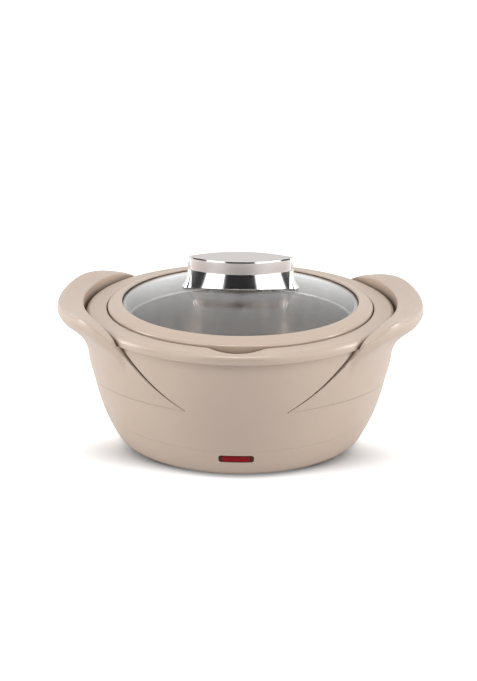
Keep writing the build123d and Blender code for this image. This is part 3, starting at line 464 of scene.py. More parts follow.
def bar_row(grow, proud=0.0, share=1.0, y=None):
    """One row round the rounded bar, drawn in to its middle by share. It lies on the base's outer face,
    moved out by proud, or in the plane y where that is given."""
    x, z = bar_loop(grow)
    x = x * share
    z = lens_z + (z - lens_z) * share
    on_base = -np.sqrt((bowed_r(base_circle, z) + proud) ** 2 - x**2)
    return np.stack((x, on_base if y is None else np.full_like(x, y), z), axis=-1)


def axes(material):
    """The coordinates of a point on its piece, as three sockets x, y and z."""
    return node(material, "ShaderNodeSeparateXYZ", ("Vector", own_place(material))).outputs


def reckon(owner, operation, *values):
    """Result of one operation on numbers."""
    return node(owner, "ShaderNodeMath", *enumerate(values), operation=operation).outputs["Value"]


def cells(material, scale):
    """Pattern of small cells over the piece, with the outputs Color and Distance."""
    return node(material, "ShaderNodeTexVoronoi", ("Vector", own_place(material)), ("Scale", scale)).outputs


lens_proud = 0.0004
lens_edge = 0.0004
lens_back_y = lens_high[1]
lens_rows = [bar_row(0.0, lens_proud, share) for share in (0.0, 0.35, 0.6, 0.8, 0.92)]
for turn in np.linspace(0, pi / 2, 5):
    lens_rows.append(bar_row(lens_edge * (sin(turn) - 1), lens_proud - lens_edge * (1 - cos(turn))))
lens_rows += [bar_row(0.0, share=share, y=lens_back_y) for share in (1.0, 0.0)]
indicator_lens = skin("red_lens_bar", np.stack(lens_rows, axis=1), close_columns=False)
lens_dim = (0.23, 0.004, 0.010)
lens_lit = (0.36, 0.008, 0.014)
lens_end_tone = (0.085, 0.024, 0.016)
lens_end_w = 0.0035
lens_dark_w = 0.0019
lens_red = finish("red_lens", (0.26, 0.010, 0.016), 0.3)
feed(lens_red, "Specular IOR Level", 0.06)
lens_side = reckon(lens_red, "ABSOLUTE", axes(lens_red)["X"])
lens_end = range_between(lens_red, lens_side, 0.0, 1.0, lens_half - lens_end_w, lens_half - lens_dark_w)
lens_glow = shade_between(lens_red, speckle(lens_red, 160.0), lens_dim, lens_lit)
feed(lens_red, "Base Color", mixed(lens_red, lens_end, lens_glow, (*lens_end_tone, 1.0)))
relief(lens_red, cells(lens_red, 900.0)["Distance"], 1.2e-4)
dress(indicator_lens, "body", "red_lens", lens_red, "indicator_lens")
bezel_gap = 0.0001
bezel_tail = 0.001
bezel_back = base_wall + bezel_tail
bezel_rows = [
    bar_row(bezel_gap, -slight_round),
    bar_row(bezel_gap + crisp_round),
    bar_row(frame_w - crisp_round),
    bar_row(frame_w, -crisp_round),
    bar_row(frame_w, -bezel_back),
    bar_row(bezel_gap, -bezel_back),
]
indicator_bezel = skin("indicator_frame", np.stack(bezel_rows, axis=1))
dark_frame = moulded("bezel_plastic", (0.085, 0.048, 0.036), 0.4, mottle=0.1)
dress(indicator_bezel, "body", "black_plastic", dark_frame, "indicator_bezel")
lamp_glass = finish("lamp_glass", (0.95, 0.72, 0.6), 0.05)
feed(lamp_glass, "Transmission Weight", 0.85)
feed(lamp_glass, "Roughness", range_between(lamp_glass, speckle(lamp_glass, 300.0), 0.03, 0.12))
coat(lamp_glass, "neon_lamp")
coat(moulded("holder_plastic", (0.72, 0.71, 0.66), 0.55, mottle=0.04), "lamp_holder")
coat(moulded("resistor_lacquer", (0.66, 0.58, 0.42), 0.5, grain=2500.0, mottle=0.08), "lamp_resistor")

# Mains inlet: a beige hood that is held in the notch between base and bowl, with a black two-pole
# socket pressed into its back wall and two plated pins.
coat(beige_plastic, "inlet_hood")
inlet_black = moulded("inlet_plastic", (0.018, 0.018, 0.018), 0.45, grain=1500.0, depth=2e-5, mottle=0.15)
coat(inlet_black, "inlet_socket")
coat(plated("pin_plating", (0.78, 0.62, 0.36), 0.25), "inlet_pins", "thermostat_terminals")


# Heater and thermostat: an aluminium plate under the liner, a flat element between mica sheets and
# a clamp on studs, with a snap-disc thermostat, a fuse and sleeved leads to the inlet and the lamp.
def flaked(name, colour):
    """Pressed mica: layered flakes that differ in tone and lie at slightly different depths."""
    material = finish(name, colour, 0.42)
    tone = node(material, "ShaderNodeRGBToBW", ("Color", cells(material, 220.0)["Color"])).outputs["Val"]
    feed(material, "Base Color", shade_between(material, tone, toned(colour, 0.7), colour))
    feed(material, "Roughness", range_between(material, tone, 0.3, 0.55, 0.0, 1.0))
    relief(material, tone, 3e-5)
    return material


coat(plated("spreader_aluminium", (0.70, 0.70, 0.71), 0.38, scale=500.0), "heat_spreader", "thermostat_cap")
coat(flaked("mica", (0.40, 0.32, 0.20)), "mica_heater", "mica_sheet")
coat(moulded("thermostat_moulding", (0.05, 0.026, 0.016), 0.5, mottle=0.15), "thermostat_body")
coat(moulded("fuse_case", (0.66, 0.58, 0.42), 0.45, mottle=0.06), "thermal_fuse")
coat(moulded("brown_sleeve", (0.10, 0.035, 0.014), 0.48, mottle=0.08), "live_lead", "heater_lead")
coat(moulded("blue_sleeve", (0.012, 0.045, 0.20), 0.48, mottle=0.08), "neutral_lead", "return_lead")
coat(moulded("white_sleeve", (0.72, 0.70, 0.66), 0.5, mottle=0.05), "lamp_leads")

# Outer body: the satin beige bowl between the two seams. Each side has a leaf-shaped recess that a
# wing sits in, so a dark groove shows along the leaf's upper edge.
rim_r = 0.1287
skirt_z = 0.105
body_wall = 0.0055
body_bulge = 0.0038
body_circle = bowed((seam_r, seam_z), (rim_r, skirt_z), body_bulge)
leaf_low_z = 0.060
leaf_tip = radians(71.4)
# The leaf's two edges: degrees from the ear's middle, and rises in millimetres over the leaf's low line.
edge_turns = np.radians(
    (0.0, 15.0, 25.0, 30.5, 35.7, 39.4, 42.4, 44.4, 46.3, 53.0, 58.6, 64.3, 70.5, 71.4)
)
edge_rises = np.array(
    (59.6, 59.6, 59.6, 58.9, 56.6, 54.0, 50.2, 44.8, 39.8, 28.7, 20.0, 11.9, 4.0, 2.9)
) / 1000
foot_turns = np.radians((0.0, 15.0, 26.0, 34.0, 40.0, 46.0, 54.0, 62.0, 71.4))
foot_rises = np.array((-2.8, -2.0, -0.7, 0.8, 1.7, 2.4, 3.0, 3.2, 2.9)) / 1000


def cubic_through(spots, values, at):
    """Smooth curve through given points: between two of them a cubic, whose slope at each point is the
    mean of its two neighbouring chords."""
    chord = np.diff(values) / np.diff(spots)
    slope = np.concatenate((np.zeros(1), (chord[:-1] + chord[1:]) / 2, chord[-1:]))
    left = np.clip(np.searchsorted(spots, at, side="right") - 1, 0, len(chord) - 1)
    step = spots[left + 1] - spots[left]
    t = (at - spots[left]) / step
    start = (1 + 2 * t) * (1 - t) ** 2 * values[left] + t * (1 - t) ** 2 * step * slope[left]
    end = t**2 * (3 - 2 * t) * values[left + 1] + t**2 * (t - 1) * step * slope[left + 1]
    return start + end


def leaf_edge(angle):
    """Height of a leaf's upper edge at an angle from the ear's middle: a flat crown and a falling edge."""
    return leaf_low_z + cubic_through(edge_turns, edge_rises, np.minimum(np.abs(angle), leaf_tip))


def leaf_foot(angle):
    """Height of a leaf's lower edge at an angle from the ear's middle: it sags a little under the ear."""
    return leaf_low_z + cubic_through(foot_turns, foot_rises, np.minimum(np.abs(angle), leaf_tip))


leaf_fit = 0.0003
foot_fit = 0.00018
tip_fit_share = 0.4
wing_t = 0.003
wing_step = 0.0002
seat_in = 0.001
seat_foot_r = bowed_r(body_circle, leaf_low_z) + wing_step - wing_t
seat_head_r = rim_r - seat_in


def seat_r(z):
    """Radius of the cone that the wings lie on."""
    return seat_foot_r + (seat_head_r - seat_foot_r) * (z - leaf_low_z) / (skirt_z - leaf_low_z)


def rows_between(low, high, count):
    """Heights that run from one array to another in even shares, one column each."""
    share = np.linspace(0, 1, count)
    return low[:, None] + (high - low)[:, None] * share[None, :]


groove_open = 0.0026
groove_deep = 0.0028
groove_fade = 0.009
groove_least = 0.05
side_slope = 0.0002
rim_left = 0.0003
arc_middle = 0.3
floor_t = 0.003
floor_hole_r = 0.078
body_turn = np.linspace(0, 2 * pi, 720, endpoint=False)
from_ear = np.abs((body_turn + pi / 2) % pi - pi / 2)
in_leaf = (from_ear < leaf_tip)[:, None]
foot_z = leaf_foot(from_ear)
edge_z = np.maximum(leaf_edge(from_ear), foot_z + wing_step)
climb = np.clip((edge_z - leaf_low_z) / (skirt_z - leaf_low_z), 0, 1)
opening = climb * np.clip((skirt_z - edge_z) / groove_fade, groove_least, 1)
top_fit = leaf_fit * (tip_fit_share + (1 - tip_fit_share) * climb)
recess_top = np.minimum(edge_z + top_fit + groove_open * opening, skirt_z - rim_left)
recess_low = foot_z - foot_fit
recess_end = np.maximum(recess_top - side_slope, recess_low + 2 * side_slope)
upper_start = np.maximum(recess_top, recess_low + 3 * side_slope)
flat = np.ones_like(body_turn)
lower_z = rows_between(flat * (seam_z + seam_ease), recess_low, 18)
recess_z = rows_between(recess_low + side_slope, recess_end, 14)
upper_z = rows_between(upper_start, flat * (skirt_z - seam_ease), 14)
groove = groove_deep * climb[:, None] * (recess_z > edge_z[:, None] - groove_open)
recess_r = np.where(in_leaf, seat_r(recess_z) - leaf_fit - groove, bowed_r(body_circle, recess_z))
floor_top_z = seam_z + floor_t
inside_z = np.linspace(skirt_z, floor_top_z, 16)
seam_rows_r = np.array((seam_r - seam_ease, seam_r - seam_ease * arc_middle))
seam_rows_z = np.array((seam_z, seam_z + seam_ease * arc_middle))
inside_rows_r = np.append(bowed_r(body_circle, inside_z, body_wall), (floor_hole_r, floor_hole_r))
inside_rows_z = np.append(inside_z, (floor_top_z, seam_z))
body_r = np.hstack(
    (
        flat[:, None] * seam_rows_r,
        bowed_r(body_circle, lower_z),
        recess_r,
        bowed_r(body_circle, upper_z),
        flat[:, None] * inside_rows_r,
    )
)
body_z = np.hstack((flat[:, None] * seam_rows_z, lower_z, recess_z, upper_z, flat[:, None] * inside_rows_z))
outer_body = skin("bowl_shell", swept_round(body_r, body_z, body_turn))
dress(outer_body, "body", "beige_plastic", beige_plastic, "outer_body")


# Foam insulation: a pale rigid ring that keeps the heat in. It is cast in place and fills the space
# between the outer body and the liner.
def porous(name, colour):
    """Rigid foam: round open cells whose hollows are darkened with painted shade."""
    material = finish(name, colour, 0.9)
    hollow = cells(material, 650.0)["Distance"]
    feed(material, "Base Color", shade_between(material, hollow, colour, toned(colour, 0.62)))
    relief(material, hollow, 3e-4)
    return material


coat(porous("foam", (0.73, 0.64, 0.36)), "foam_insulation")

# Liner bowl: drawn stainless steel, spun smooth inside, whose rolled rim hooks over the collar's lip
# on a grey silicone ring.
liner_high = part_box("liner_bowl")[1]
liner_r = 0.0982
liner_t = 0.0008
liner_heel_r = 0.091
liner_floor_z = 0.036
liner_round = 0.024
rim_z = liner_high[2] - liner_t
rim_out_r = liner_high[0]
rim_round = 0.0012
rim_out_round = 0.0009
waist_drop = 0.012
waist_z = rim_z - waist_drop
waist_round = 0.008
hook_z = 0.1043
wall_h = waist_z - liner_floor_z
wall_lean = np.hypot(liner_r - liner_heel_r, wall_h) / wall_h
heel_shift = liner_t * wall_lean - liner_t * (liner_r - liner_heel_r) / wall_h
liner_bowl = turned(
    "steel_liner",
    eased(
        (0.0, liner_floor_z),
        (liner_heel_r, liner_floor_z, liner_round),
        (liner_r, waist_z, waist_round),
        (liner_r, rim_z + liner_t, rim_round),
        (rim_out_r, rim_z + liner_t, rim_out_round),
        (rim_out_r, hook_z, slight_round),
        (rim_out_r - liner_t, hook_z, slight_round),
        (rim_out_r - liner_t, rim_z, slight_round),
        (liner_r + liner_t, rim_z, soft_round),
        (liner_r + liner_t, waist_z, waist_round),
        (liner_heel_r + heel_shift, liner_floor_z - liner_t, liner_round + liner_t),
        (0.0, liner_floor_z - liner_t),
        steps=14,
    ),
)


def reckon_vector(owner, operation, *values):
    """Result of one operation on vectors. A length comes out as a number."""
    made = node(owner, "ShaderNodeVectorMath", *enumerate(values), operation=operation)
    return made.outputs["Value" if operation == "LENGTH" else "Vector"]


def vector_of(material, *parts):
    """Vector from pairs of an axis and its number."""
    return node(material, "ShaderNodeCombineXYZ", *parts).outputs["Vector"]


def spun(name, colour, roughness, mark=1500.0, streaks=0.3, blot=6.0, drift=0.0, calm=(-2.0, -1.0)):
    """Spun or drawn steel: hair-fine rings about the upright axis in gloss and relief, and painted
    reflections, soft light and dark streaks in the colour that run up the wall. The rings are noise over
    (distance from the axis, height) only, so each one runs right round, and the painted streaks are noise
    over the direction from the axis and, times drift, the height. They come in between the two calm heights."""
    ring_depth = 2.0e-7
    ring_share = 0.08
    material = finish(name, colour, roughness, 1.0)
    x, y, z = axes(material)
    level = vector_of(material, ("X", x), ("Y", y))
    ring = vector_of(material, ("X", reckon_vector(material, "LENGTH", level)), ("Y", z))
    lines = noise_over(material, ring, mark, detail=4.0)
    upward = vector_of(material, ("Z", reckon(material, "MULTIPLY", z, drift)))
    way = reckon_vector(material, "ADD", reckon_vector(material, "NORMALIZE", level), upward)
    streak = range_between(material, noise_over(material, way, blot, detail=2.0), 0.0, 1.0, 0.4, 0.62)
    wall_share = range_between(material, z, 0.0, 1.0, *calm)
    reflection_tone = mixed(material, wall_share, 0.5, streak, data_type="FLOAT")
    tone = shade_between(material, reflection_tone, toned(colour, 1 - streaks), toned(colour, 1 + streaks))
    feed(material, "Base Color", mixed(material, ring_share, tone, lines, blend_type="MULTIPLY"))
    feed(material, "Roughness", range_between(material, lines, roughness * 0.9, roughness * 1.1))
    relief(material, lines, ring_depth)
    return material


# Dark steel tone: painted shade for the inside of the bowl under the lid; the wall carries painted
# reflections.
shaded_liner_tone = (0.345, 0.305, 0.278)
reflection_low = 0.012
reflection_full = 0.04
reflection_start = (liner_floor_z + reflection_low, liner_floor_z + reflection_full)
liner_steel = spun("liner_steel", shaded_liner_tone, 0.2, streaks=0.4, blot=12.0, drift=2.0, calm=reflection_start)
dress(liner_bowl, "body", "liner_steel", liner_steel, "liner_bowl")
silicone = moulded("grey_silicone", (0.27, 0.265, 0.25), 0.6, grain=700.0, depth=2e-5, mottle=0.08)
coat(silicone, "liner_seal", "handle_pads", "handle_washers")

# Top collar: beige ring with a rounded shoulder and a flat shelf. It drops over the body with an
# inner tongue, carries the lid on a ledge, and is scooped out in front for a finger.
collar_low, collar_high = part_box("top_collar")
collar_r = collar_high[0]
collar_round = 0.0045
collar_skin = 0.0025
shelf_z = 0.113
well_r = 0.1134
ledge_z = 0.104
neck_r = 0.0993
neck_z = collar_low[2]
lip_r = 0.1022
lip_h = 0.0026
lip_z = ledge_z + lip_h
under_z = ledge_z - collar_skin
under_round = 0.0005
tongue_h = 0.006
tongue_r = bowed_r(body_circle, skirt_z, body_wall) - leaf_fit
tongue_z = skirt_z - tongue_h
past_round = 0.0012
past_ledge = 0.001
shelf_rows = np.linspace(collar_r - collar_round - soft_round, well_r + past_round, 26)
wall_rows = np.linspace(shelf_z - past_round, ledge_z + past_ledge, 12)
collar_outline = eased(
    (collar_r, skirt_z, full_round),
    (collar_r, shelf_z, collar_round),
    *[(r, shelf_z) for r in shelf_rows],
    (well_r, shelf_z, full_round),
    *[(well_r, z) for z in wall_rows],
    (well_r, ledge_z, soft_round),
    (lip_r, ledge_z, slight_round),
    (lip_r, lip_z, soft_round),
    (neck_r, lip_z, soft_round),
    (neck_r, neck_z, slight_round),
    (neck_r + collar_skin, neck_z, slight_round),
    (neck_r + collar_skin, under_z, under_round),
    (tongue_r - collar_skin, under_z, under_round),
    (tongue_r - collar_skin, tongue_z, slight_round),
    (tongue_r, tongue_z, slight_round),
    (tongue_r, skirt_z),
    steps=8,
)
notch_r = 0.051
notch_reach = 0.125
notch_tilt = radians(22)
notch_half_turn = radians(15)
notch_half = 0.04
notch_soft = 0.0006
notch_near = 0.004
notch_floor_h = 0.0008
notch_floor_z = ledge_z + notch_floor_h
dish_limit = 0.9
no_scoop_z = 1.0
shoulder_polish = 0.5
notch_start = -pi / 2 - notch_half_turn
notch_end = -pi / 2 + notch_half_turn
notch_turns = np.linspace(notch_start, notch_end, 240, endpoint=False)
other_turns = np.linspace(notch_end, notch_start + 2 * pi, 320, endpoint=False)
collar_turns = np.concatenate((notch_turns, other_turns))
collar_grid = swept_round(collar_outline[:, 0], collar_outline[:, 1], collar_turns)
collar_x, collar_y, collar_h = np.moveaxis(collar_grid, -1, 0)


def scoop_z(x, y):
    """Height of the finger scoop: a lying cylinder that leans down toward the lid."""
    dish = notch_r - np.sqrt(notch_r**2 - np.minimum(np.abs(x), dish_limit * notch_r) ** 2)
    return shelf_z - tan(notch_tilt) * (y + notch_reach) + dish / cos(notch_tilt)


in_front = (collar_y < 0) & (np.abs(collar_x) < notch_half)
scooped = np.where(in_front, scoop_z(collar_x, collar_y), no_scoop_z)
soft_low = (collar_h + scooped) / 2 - np.sqrt(((collar_h - scooped) / 2) ** 2 + (notch_soft / 2) ** 2)
on_top = (np.hypot(collar_x, collar_y) > well_r - merge_gap) & (collar_h > notch_floor_z)
near_scoop = scooped < collar_h + notch_near
collar_grid[..., 2] = np.where(on_top & near_scoop, np.maximum(soft_low, notch_floor_z), collar_h)
on_shoulder = (collar_outline > (collar_r - collar_round, shelf_z - collar_round)).all(axis=1)
top_collar = skin("collar_ring", collar_grid, polish=shoulder_polish * on_shoulder)
dress(top_collar, "body", "beige_plastic", beige_plastic, "top_collar")

# Wing handles: two leaf-shaped beige panels, let into the sides of the body and screwed from inside.
# The upper edge of each leaf flares out into an ear with a sloping top and an upright inner wall.
wing_r = 0.1326
wing_fill = 0.996
ear_angle = radians(47)
ear_power = 2.4
ear_wall_r = 0.1328
ear_least = 0.001
ear_crest_r = 0.155
flare_soft = 0.03
flare_span = ear_crest_r - wing_r
flare_heights = np.array((0.0, 0.2, 0.42, 0.6, 0.72, 0.8, 0.9, 1.0))
flare_shares = np.array((0.0, 0.0, 0.0, 0.2, 0.55, 0.85, 1.0, 0.95))
front_lip_rise = 0.0028
front_lip_turn = radians(-29)
front_lip_spread = radians(7.5)
back_lip_rise = 0.0034
back_lip_turn = radians(21)
back_lip_spread = radians(11)
leaf_thin = 0.85
wall_foot_z = skirt_z - leaf_fit
corner_points = 7
corner_most = 0.45
lip_size = 0.0010
inner_size = 0.0012
sole_size = 0.0004
lip_share = 0.2
sole_share = 0.1


def leaf_skin_r(z, share, foot):
    """Radius of the wing's outer face before the ear flares out of it. It stands proud of the body by the
    given share, so that the leaf thins out toward its tips, and meets the body at its foot."""
    fall = np.clip((skirt_z - z) / (skirt_z - foot), 0, None)
    proud = wing_r - (wing_r - bowed_r(body_circle, foot) - wing_step) * fall**2
    flush = bowed_r(body_circle, np.minimum(z, skirt_z)) + wing_step
    return flush + (proud - flush) * share


def lip(angle, rise, middle, spread):
    """Height of a lip on the ear's edge: a bell curve round its middle."""
    return rise * np.exp(-(((angle - middle) / spread) ** 2))


def corner(before, at, after, size, count=corner_points):
    """Round corner: a quadratic curve that leaves both sides at the given distance from the corner, or
    nearer where a side is short."""
    back = before - at
    ahead = after - at
    back_run = np.linalg.norm(back, axis=-1, keepdims=True)
    ahead_run = np.linalg.norm(ahead, axis=-1, keepdims=True)
    first = at + back * np.minimum(size / np.maximum(back_run, tiny), corner_most)
    last = at + ahead * np.minimum(size / np.maximum(ahead_run, tiny), corner_most)
    t = np.linspace(0, 1, count)[None, :, None]
    return (1 - t) ** 2 * first[:, None] + 2 * t * (1 - t) * at[:, None] + t**2 * last[:, None]


def between(start, end, *shares):
    """Points at the given shares of the way from one corner to the next."""
    t = np.array(shares)[None, :, None]
    return start[:, None] * (1 - t) + end[:, None] * t


def point(r, z):
    """Outline points (r, z), one for each angle."""
    return np.stack((r, z), axis=-1)


wing_angle = leaf_tip * np.sin(np.linspace(-pi / 2, pi / 2, 261)) * wing_fill
fading = 1 - (np.abs(wing_angle) / ear_angle) ** ear_power
flare = np.minimum((fading + np.sqrt(fading**2 + flare_soft**2)) / 2, 1.0)
proud_share = 1 - leaf_thin * (wing_angle / leaf_tip) ** 2
leaf_foot_z = leaf_foot(wing_angle)
leaf_in_z = np.maximum(leaf_edge(wing_angle), leaf_foot_z + wing_step)
front_lip = lip(wing_angle, front_lip_rise, front_lip_turn, front_lip_spread)
back_lip = lip(wing_angle, back_lip_rise, back_lip_turn, back_lip_spread)
leaf_h = (leaf_in_z + front_lip + back_lip - leaf_foot_z)[:, None]
skin_share = np.linspace(0, 1, 64)
skin_z = leaf_foot_z[:, None] + leaf_h * skin_share[None, :]
flare_out = flare_span * cubic_through(flare_heights, flare_shares, skin_share)
leaf_r = leaf_skin_r(skin_z, proud_share[:, None], leaf_foot_z[:, None])
skin_line = point(leaf_r + flare[:, None] * flare_out[None, :], skin_z)
skin_foot = skin_line[:, 0]
top_out = skin_line[:, -1]
above = (leaf_in_z > wall_foot_z) & (top_out[:, 0] > ear_wall_r + ear_least)
step_z = np.minimum(leaf_in_z, wall_foot_z)
inner_r = np.where(above, ear_wall_r, seat_r(step_z))
top_in = point(inner_r, np.where(above, leaf_in_z, step_z))
wall_foot = point(inner_r, step_z)
seat_head = point(seat_r(step_z), step_z)
seat_foot = point(seat_r(leaf_foot_z), leaf_foot_z)
lip_round = np.minimum(lip_size, lip_share * leaf_h)
inner_round = np.minimum(inner_size, lip_share * leaf_h)
sole_round = np.minimum(sole_size, sole_share * leaf_h)
lip_start = skin_line.shape[1] - 4
section = np.concatenate(
    (
        skin_line[:, 1 : lip_start + 1],
        corner(skin_line[:, lip_start], top_out, top_in, lip_round),
        between(top_out, top_in, 0.3, 0.5, 0.7),
        corner(top_out, top_in, wall_foot, inner_round),
        between(top_in, wall_foot, 0.5, 0.8),
        wall_foot[:, None],
        seat_head[:, None],
        between(seat_head, seat_foot, 0.25, 0.5, 0.75),
        seat_foot[:, None],
        corner(seat_foot, skin_foot, skin_line[:, 1], sole_round, count=4),
    ),
    axis=1,
)
tip_points = np.repeat(section[[0, -1]].mean(axis=1, keepdims=True), section.shape[1], axis=1)
section = np.concatenate((tip_points[:1], section, tip_points[1:]), axis=0)
section_angle = np.concatenate((wing_angle[:1], wing_angle, wing_angle[-1:]))
wing_grid = swept_round(section[..., 0], section[..., 1], section_angle)
lip_polish = np.zeros(section.shape[1])
lip_polish[lip_start : lip_start + corner_points] = 1.0
for side, wing_name in ((1, "right_wing"), (-1, "left_wing")):
    wing = skin(wing_name, wing_grid * (side, 1, 1), close_rows=False, polish=lip_polish)
    dress(wing, "body", "beige_plastic", beige_plastic, wing_name + "_handle")

# Lid glass: a clear, gently domed disc of tempered glass with two holes for the handle screws. It
# sits a little below the crest of the lid's ring.
glass_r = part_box("lid_glass")[1][0]
glass_t = 0.0035
glass_round = 0.0009
glass_open_r = 0.1003
glass_rise = 0.0146
glass_sink = 0.0022
glass_edge = 0.0016
crest_h = 0.0062
crest_z = shelf_z + crest_h
dome_r = (glass_open_r**2 + glass_rise**2) / (2 * glass_rise)
dome_z = crest_z - glass_sink + glass_rise - dome_r


def dome(r, offset=0.0):
    """Height of the glass's outer face at a distance from the axis, moved out by offset."""
    return dome_z + np.sqrt((dome_r + offset) ** 2 - r**2)


def dome_points(radii, offset=0.0, lift=0.0):
    """Outline points along the dome, moved out by offset and then up by lift."""
    return [(r, dome(r, offset) + lift) for r in radii]


dome_rows = np.linspace(0, glass_r - glass_edge, 48)
glass_outline = eased(
    *dome_points(dome_rows),
    (glass_r, dome(glass_r), glass_round),
    (glass_r, dome(glass_r, -glass_t), glass_round),
    *dome_points(dome_rows[::-1], -glass_t),
)
lid_glass = turned("glass_dome", glass_outline, steps=240)
grip_screw_x = 0.022
grip_hole_r = 0.0027
hole_low_z = 0.1
hole_high_z = 0.15
for side in (-1, 1):
    drill(lid_glass, (side * grip_screw_x, 0.0), grip_hole_r, hole_low_z, hole_high_z, steps=32)
clear_glass = finish("clear_glass", (0.975, 0.985, 0.98), 0.0)
feed(clear_glass, "Transmission Weight", 1.0)
feed(clear_glass, "IOR", 1.5)
feed(clear_glass, "Roughness", range_between(clear_glass, speckle(clear_glass, 25.0), 0.0, 0.02))
dress(lid_glass, "lid", "clear_glass", clear_glass, "lid_glass")
lid_glass.visible_shadow = False

# Lid ring and gasket: a beige channel ring pressed over the edge of the glass, with a thin dark
# rubber gasket whose lip shows along the ring's inner edge.
ring_low, ring_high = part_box("lid_ring")
lid_r = ring_high[0]
ring_low_z = ring_low[2]
ring_edge_h = 0.0016
ring_edge_z = shelf_z + ring_edge_h
ring_round = 0.0017
ring_wall = 0.0026
crest_round = 0.0007
crown_bulge = 0.0007
crown_start = 0.0022
band_t = 0.0008
gasket_t = 0.0008
gasket_leaf = 0.00025
gasket_show = 0.0003
gasket_round = 0.0001
thin_fit = 0.0001
gasket_r = glass_r + gasket_t + thin_fit
gasket_top = gasket_leaf + 2 * thin_fit
pocket_z = dome(glass_r, -glass_t) - 2 * thin_fit - band_t
ring_w = lid_r - glass_open_r
crown_r = np.linspace(lid_r - crown_start, glass_open_r + past_round, 16)
crown_bow = crown_bulge * (1 - ((2 * crown_r - lid_r - glass_open_r) / ring_w) ** 2)
crown_z = ring_edge_z + (crest_z - ring_edge_z) * (lid_r - crown_r) / ring_w + crown_bow
ring_outline = eased(
    (lid_r, ring_low_z, soft_round),
    (lid_r, ring_edge_z, ring_round),
    *zip(crown_r, crown_z),
    (glass_open_r, crest_z, crest_round),
    (glass_open_r, dome(glass_open_r) + gasket_top, crisp_round),
    (gasket_r + thin_fit, dome(gasket_r) + gasket_top),
    (gasket_r + thin_fit, pocket_z),
    (lid_r - ring_wall, pocket_z),
    (lid_r - ring_wall, ring_low_z, slight_round),
    steps=8,
)
on_edge = (ring_outline > (lid_r - ring_round, ring_edge_z - ring_round)).all(axis=1)
lid_ring = turned("lid_ring_shell", ring_outline, polish=1.0 * on_edge)
dress(lid_ring, "lid", "beige_plastic", beige_plastic, "lid_ring")
gasket_lip_r = glass_open_r - gasket_show
leaf_rows = np.linspace(gasket_lip_r, glass_r + thin_fit, 6)
gasket = turned(
    "glass_gasket_ring",
    eased(
        *dome_points(leaf_rows, lift=thin_fit),
        (glass_r + thin_fit, pocket_z),
        (gasket_r, pocket_z),
        (gasket_r, dome(gasket_r) + gasket_leaf + thin_fit),
        *dome_points(leaf_rows[-2:0:-1], lift=gasket_leaf + thin_fit),
        (gasket_lip_r, dome(gasket_lip_r) + gasket_leaf + thin_fit, gasket_round),
    ),
)
gasket_rubber = moulded("dark_gasket", (0.030, 0.026, 0.023), 0.6, grain=900.0, depth=2e-5, mottle=0.12)
dress(gasket, "lid", "dark_gasket", gasket_rubber, "glass_gasket")

# Lid band, retaining ring and seal: a satin steel skirt under the glass with a rolled hem, held by a
# beige ring that closes the channel from below and carries a soft seal for the ledge.
band_r = 0.097
band_in_r = band_r - band_t
band_round = 0.0005
band_top = -glass_t - thin_fit
band_under = band_top - band_t
hem_r = 0.0011
hem_drop = 0.0143
hem_z = shelf_z - hem_drop
hem_middle = band_r - hem_r
hem_end = np.arccos((band_in_r - hem_middle) / hem_r)
hem_turns = np.linspace(0, hem_end - 2 * pi, 22)
hem_points = zip(hem_middle + hem_r * np.cos(hem_turns), hem_z + hem_r * np.sin(hem_turns))
flange_start = 0.001
flange_gap = 0.0002
flange_rows = np.linspace(band_in_r + flange_start, glass_r - flange_gap, 7)
lid_band = turned(
    "steel_band",
    eased(
        (band_in_r, dome(band_in_r, band_top) - thin_fit, band_round),
        *dome_points(flange_rows, band_top, -thin_fit),
        *dome_points(flange_rows[:1:-1], band_under, -thin_fit),
        (band_r, dome(band_r, band_under) - thin_fit, full_round),
        *hem_points,
    ),
)
# The band's steel carries faint painted reflections, soft light and dark streaks in its colour.
band_steel = spun("band_steel", (0.39, 0.375, 0.365), 0.5, mark=900.0, streaks=0.12)
dress(lid_band, "lid", "band_steel", band_steel, "lid_band")
coat(plate_plastic, "retaining_ring")
seal_low, seal_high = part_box("lid_seal")
seal_out_r = seal_high[0]
seal_in_r = 0.1045
lid_seal = turned(
    "lid_seal_ring",
    eased(
        (seal_in_r, seal_low[2], soft_round),
        (seal_out_r, seal_low[2], soft_round),
        (seal_out_r, seal_high[2], crisp_round),
        (seal_in_r, seal_high[2], crisp_round),
    ),
)
dress(lid_seal, "lid", "grey_silicone", silicone, "lid_seal")

# Lid handle: a cast and chromed shell, eye-shaped from above. Its flat top and upright band are
# brushed, a bright flared foot stands on the glass, and a white core inside takes the two screws.
grip_top_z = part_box("lid_handle")[1][2]
grip_band_h = 0.0112
grip_band_z = grip_top_z - grip_band_h
grip_half = 0.0168
grip_wall = 0.0022
grip_lift = 0.00035
grip_crease = radians(22)
corner_x = 0.0413
end_bow = 0.0035
end_half = 0.0032
foot_flare = 0.005
side_flare = 0.0019
end_flare = 0.0048
flare_straight = 0.9
flare_power = 2.2
foot_nose = 0.0006
nose_share = 0.3
edge_nose = 0.00015
edge_in = 0.0002
edge_drop = 0.0012
edge_low_z = grip_top_z - edge_nose - edge_drop
crease_row = 0.00006
crease_share = 0.004


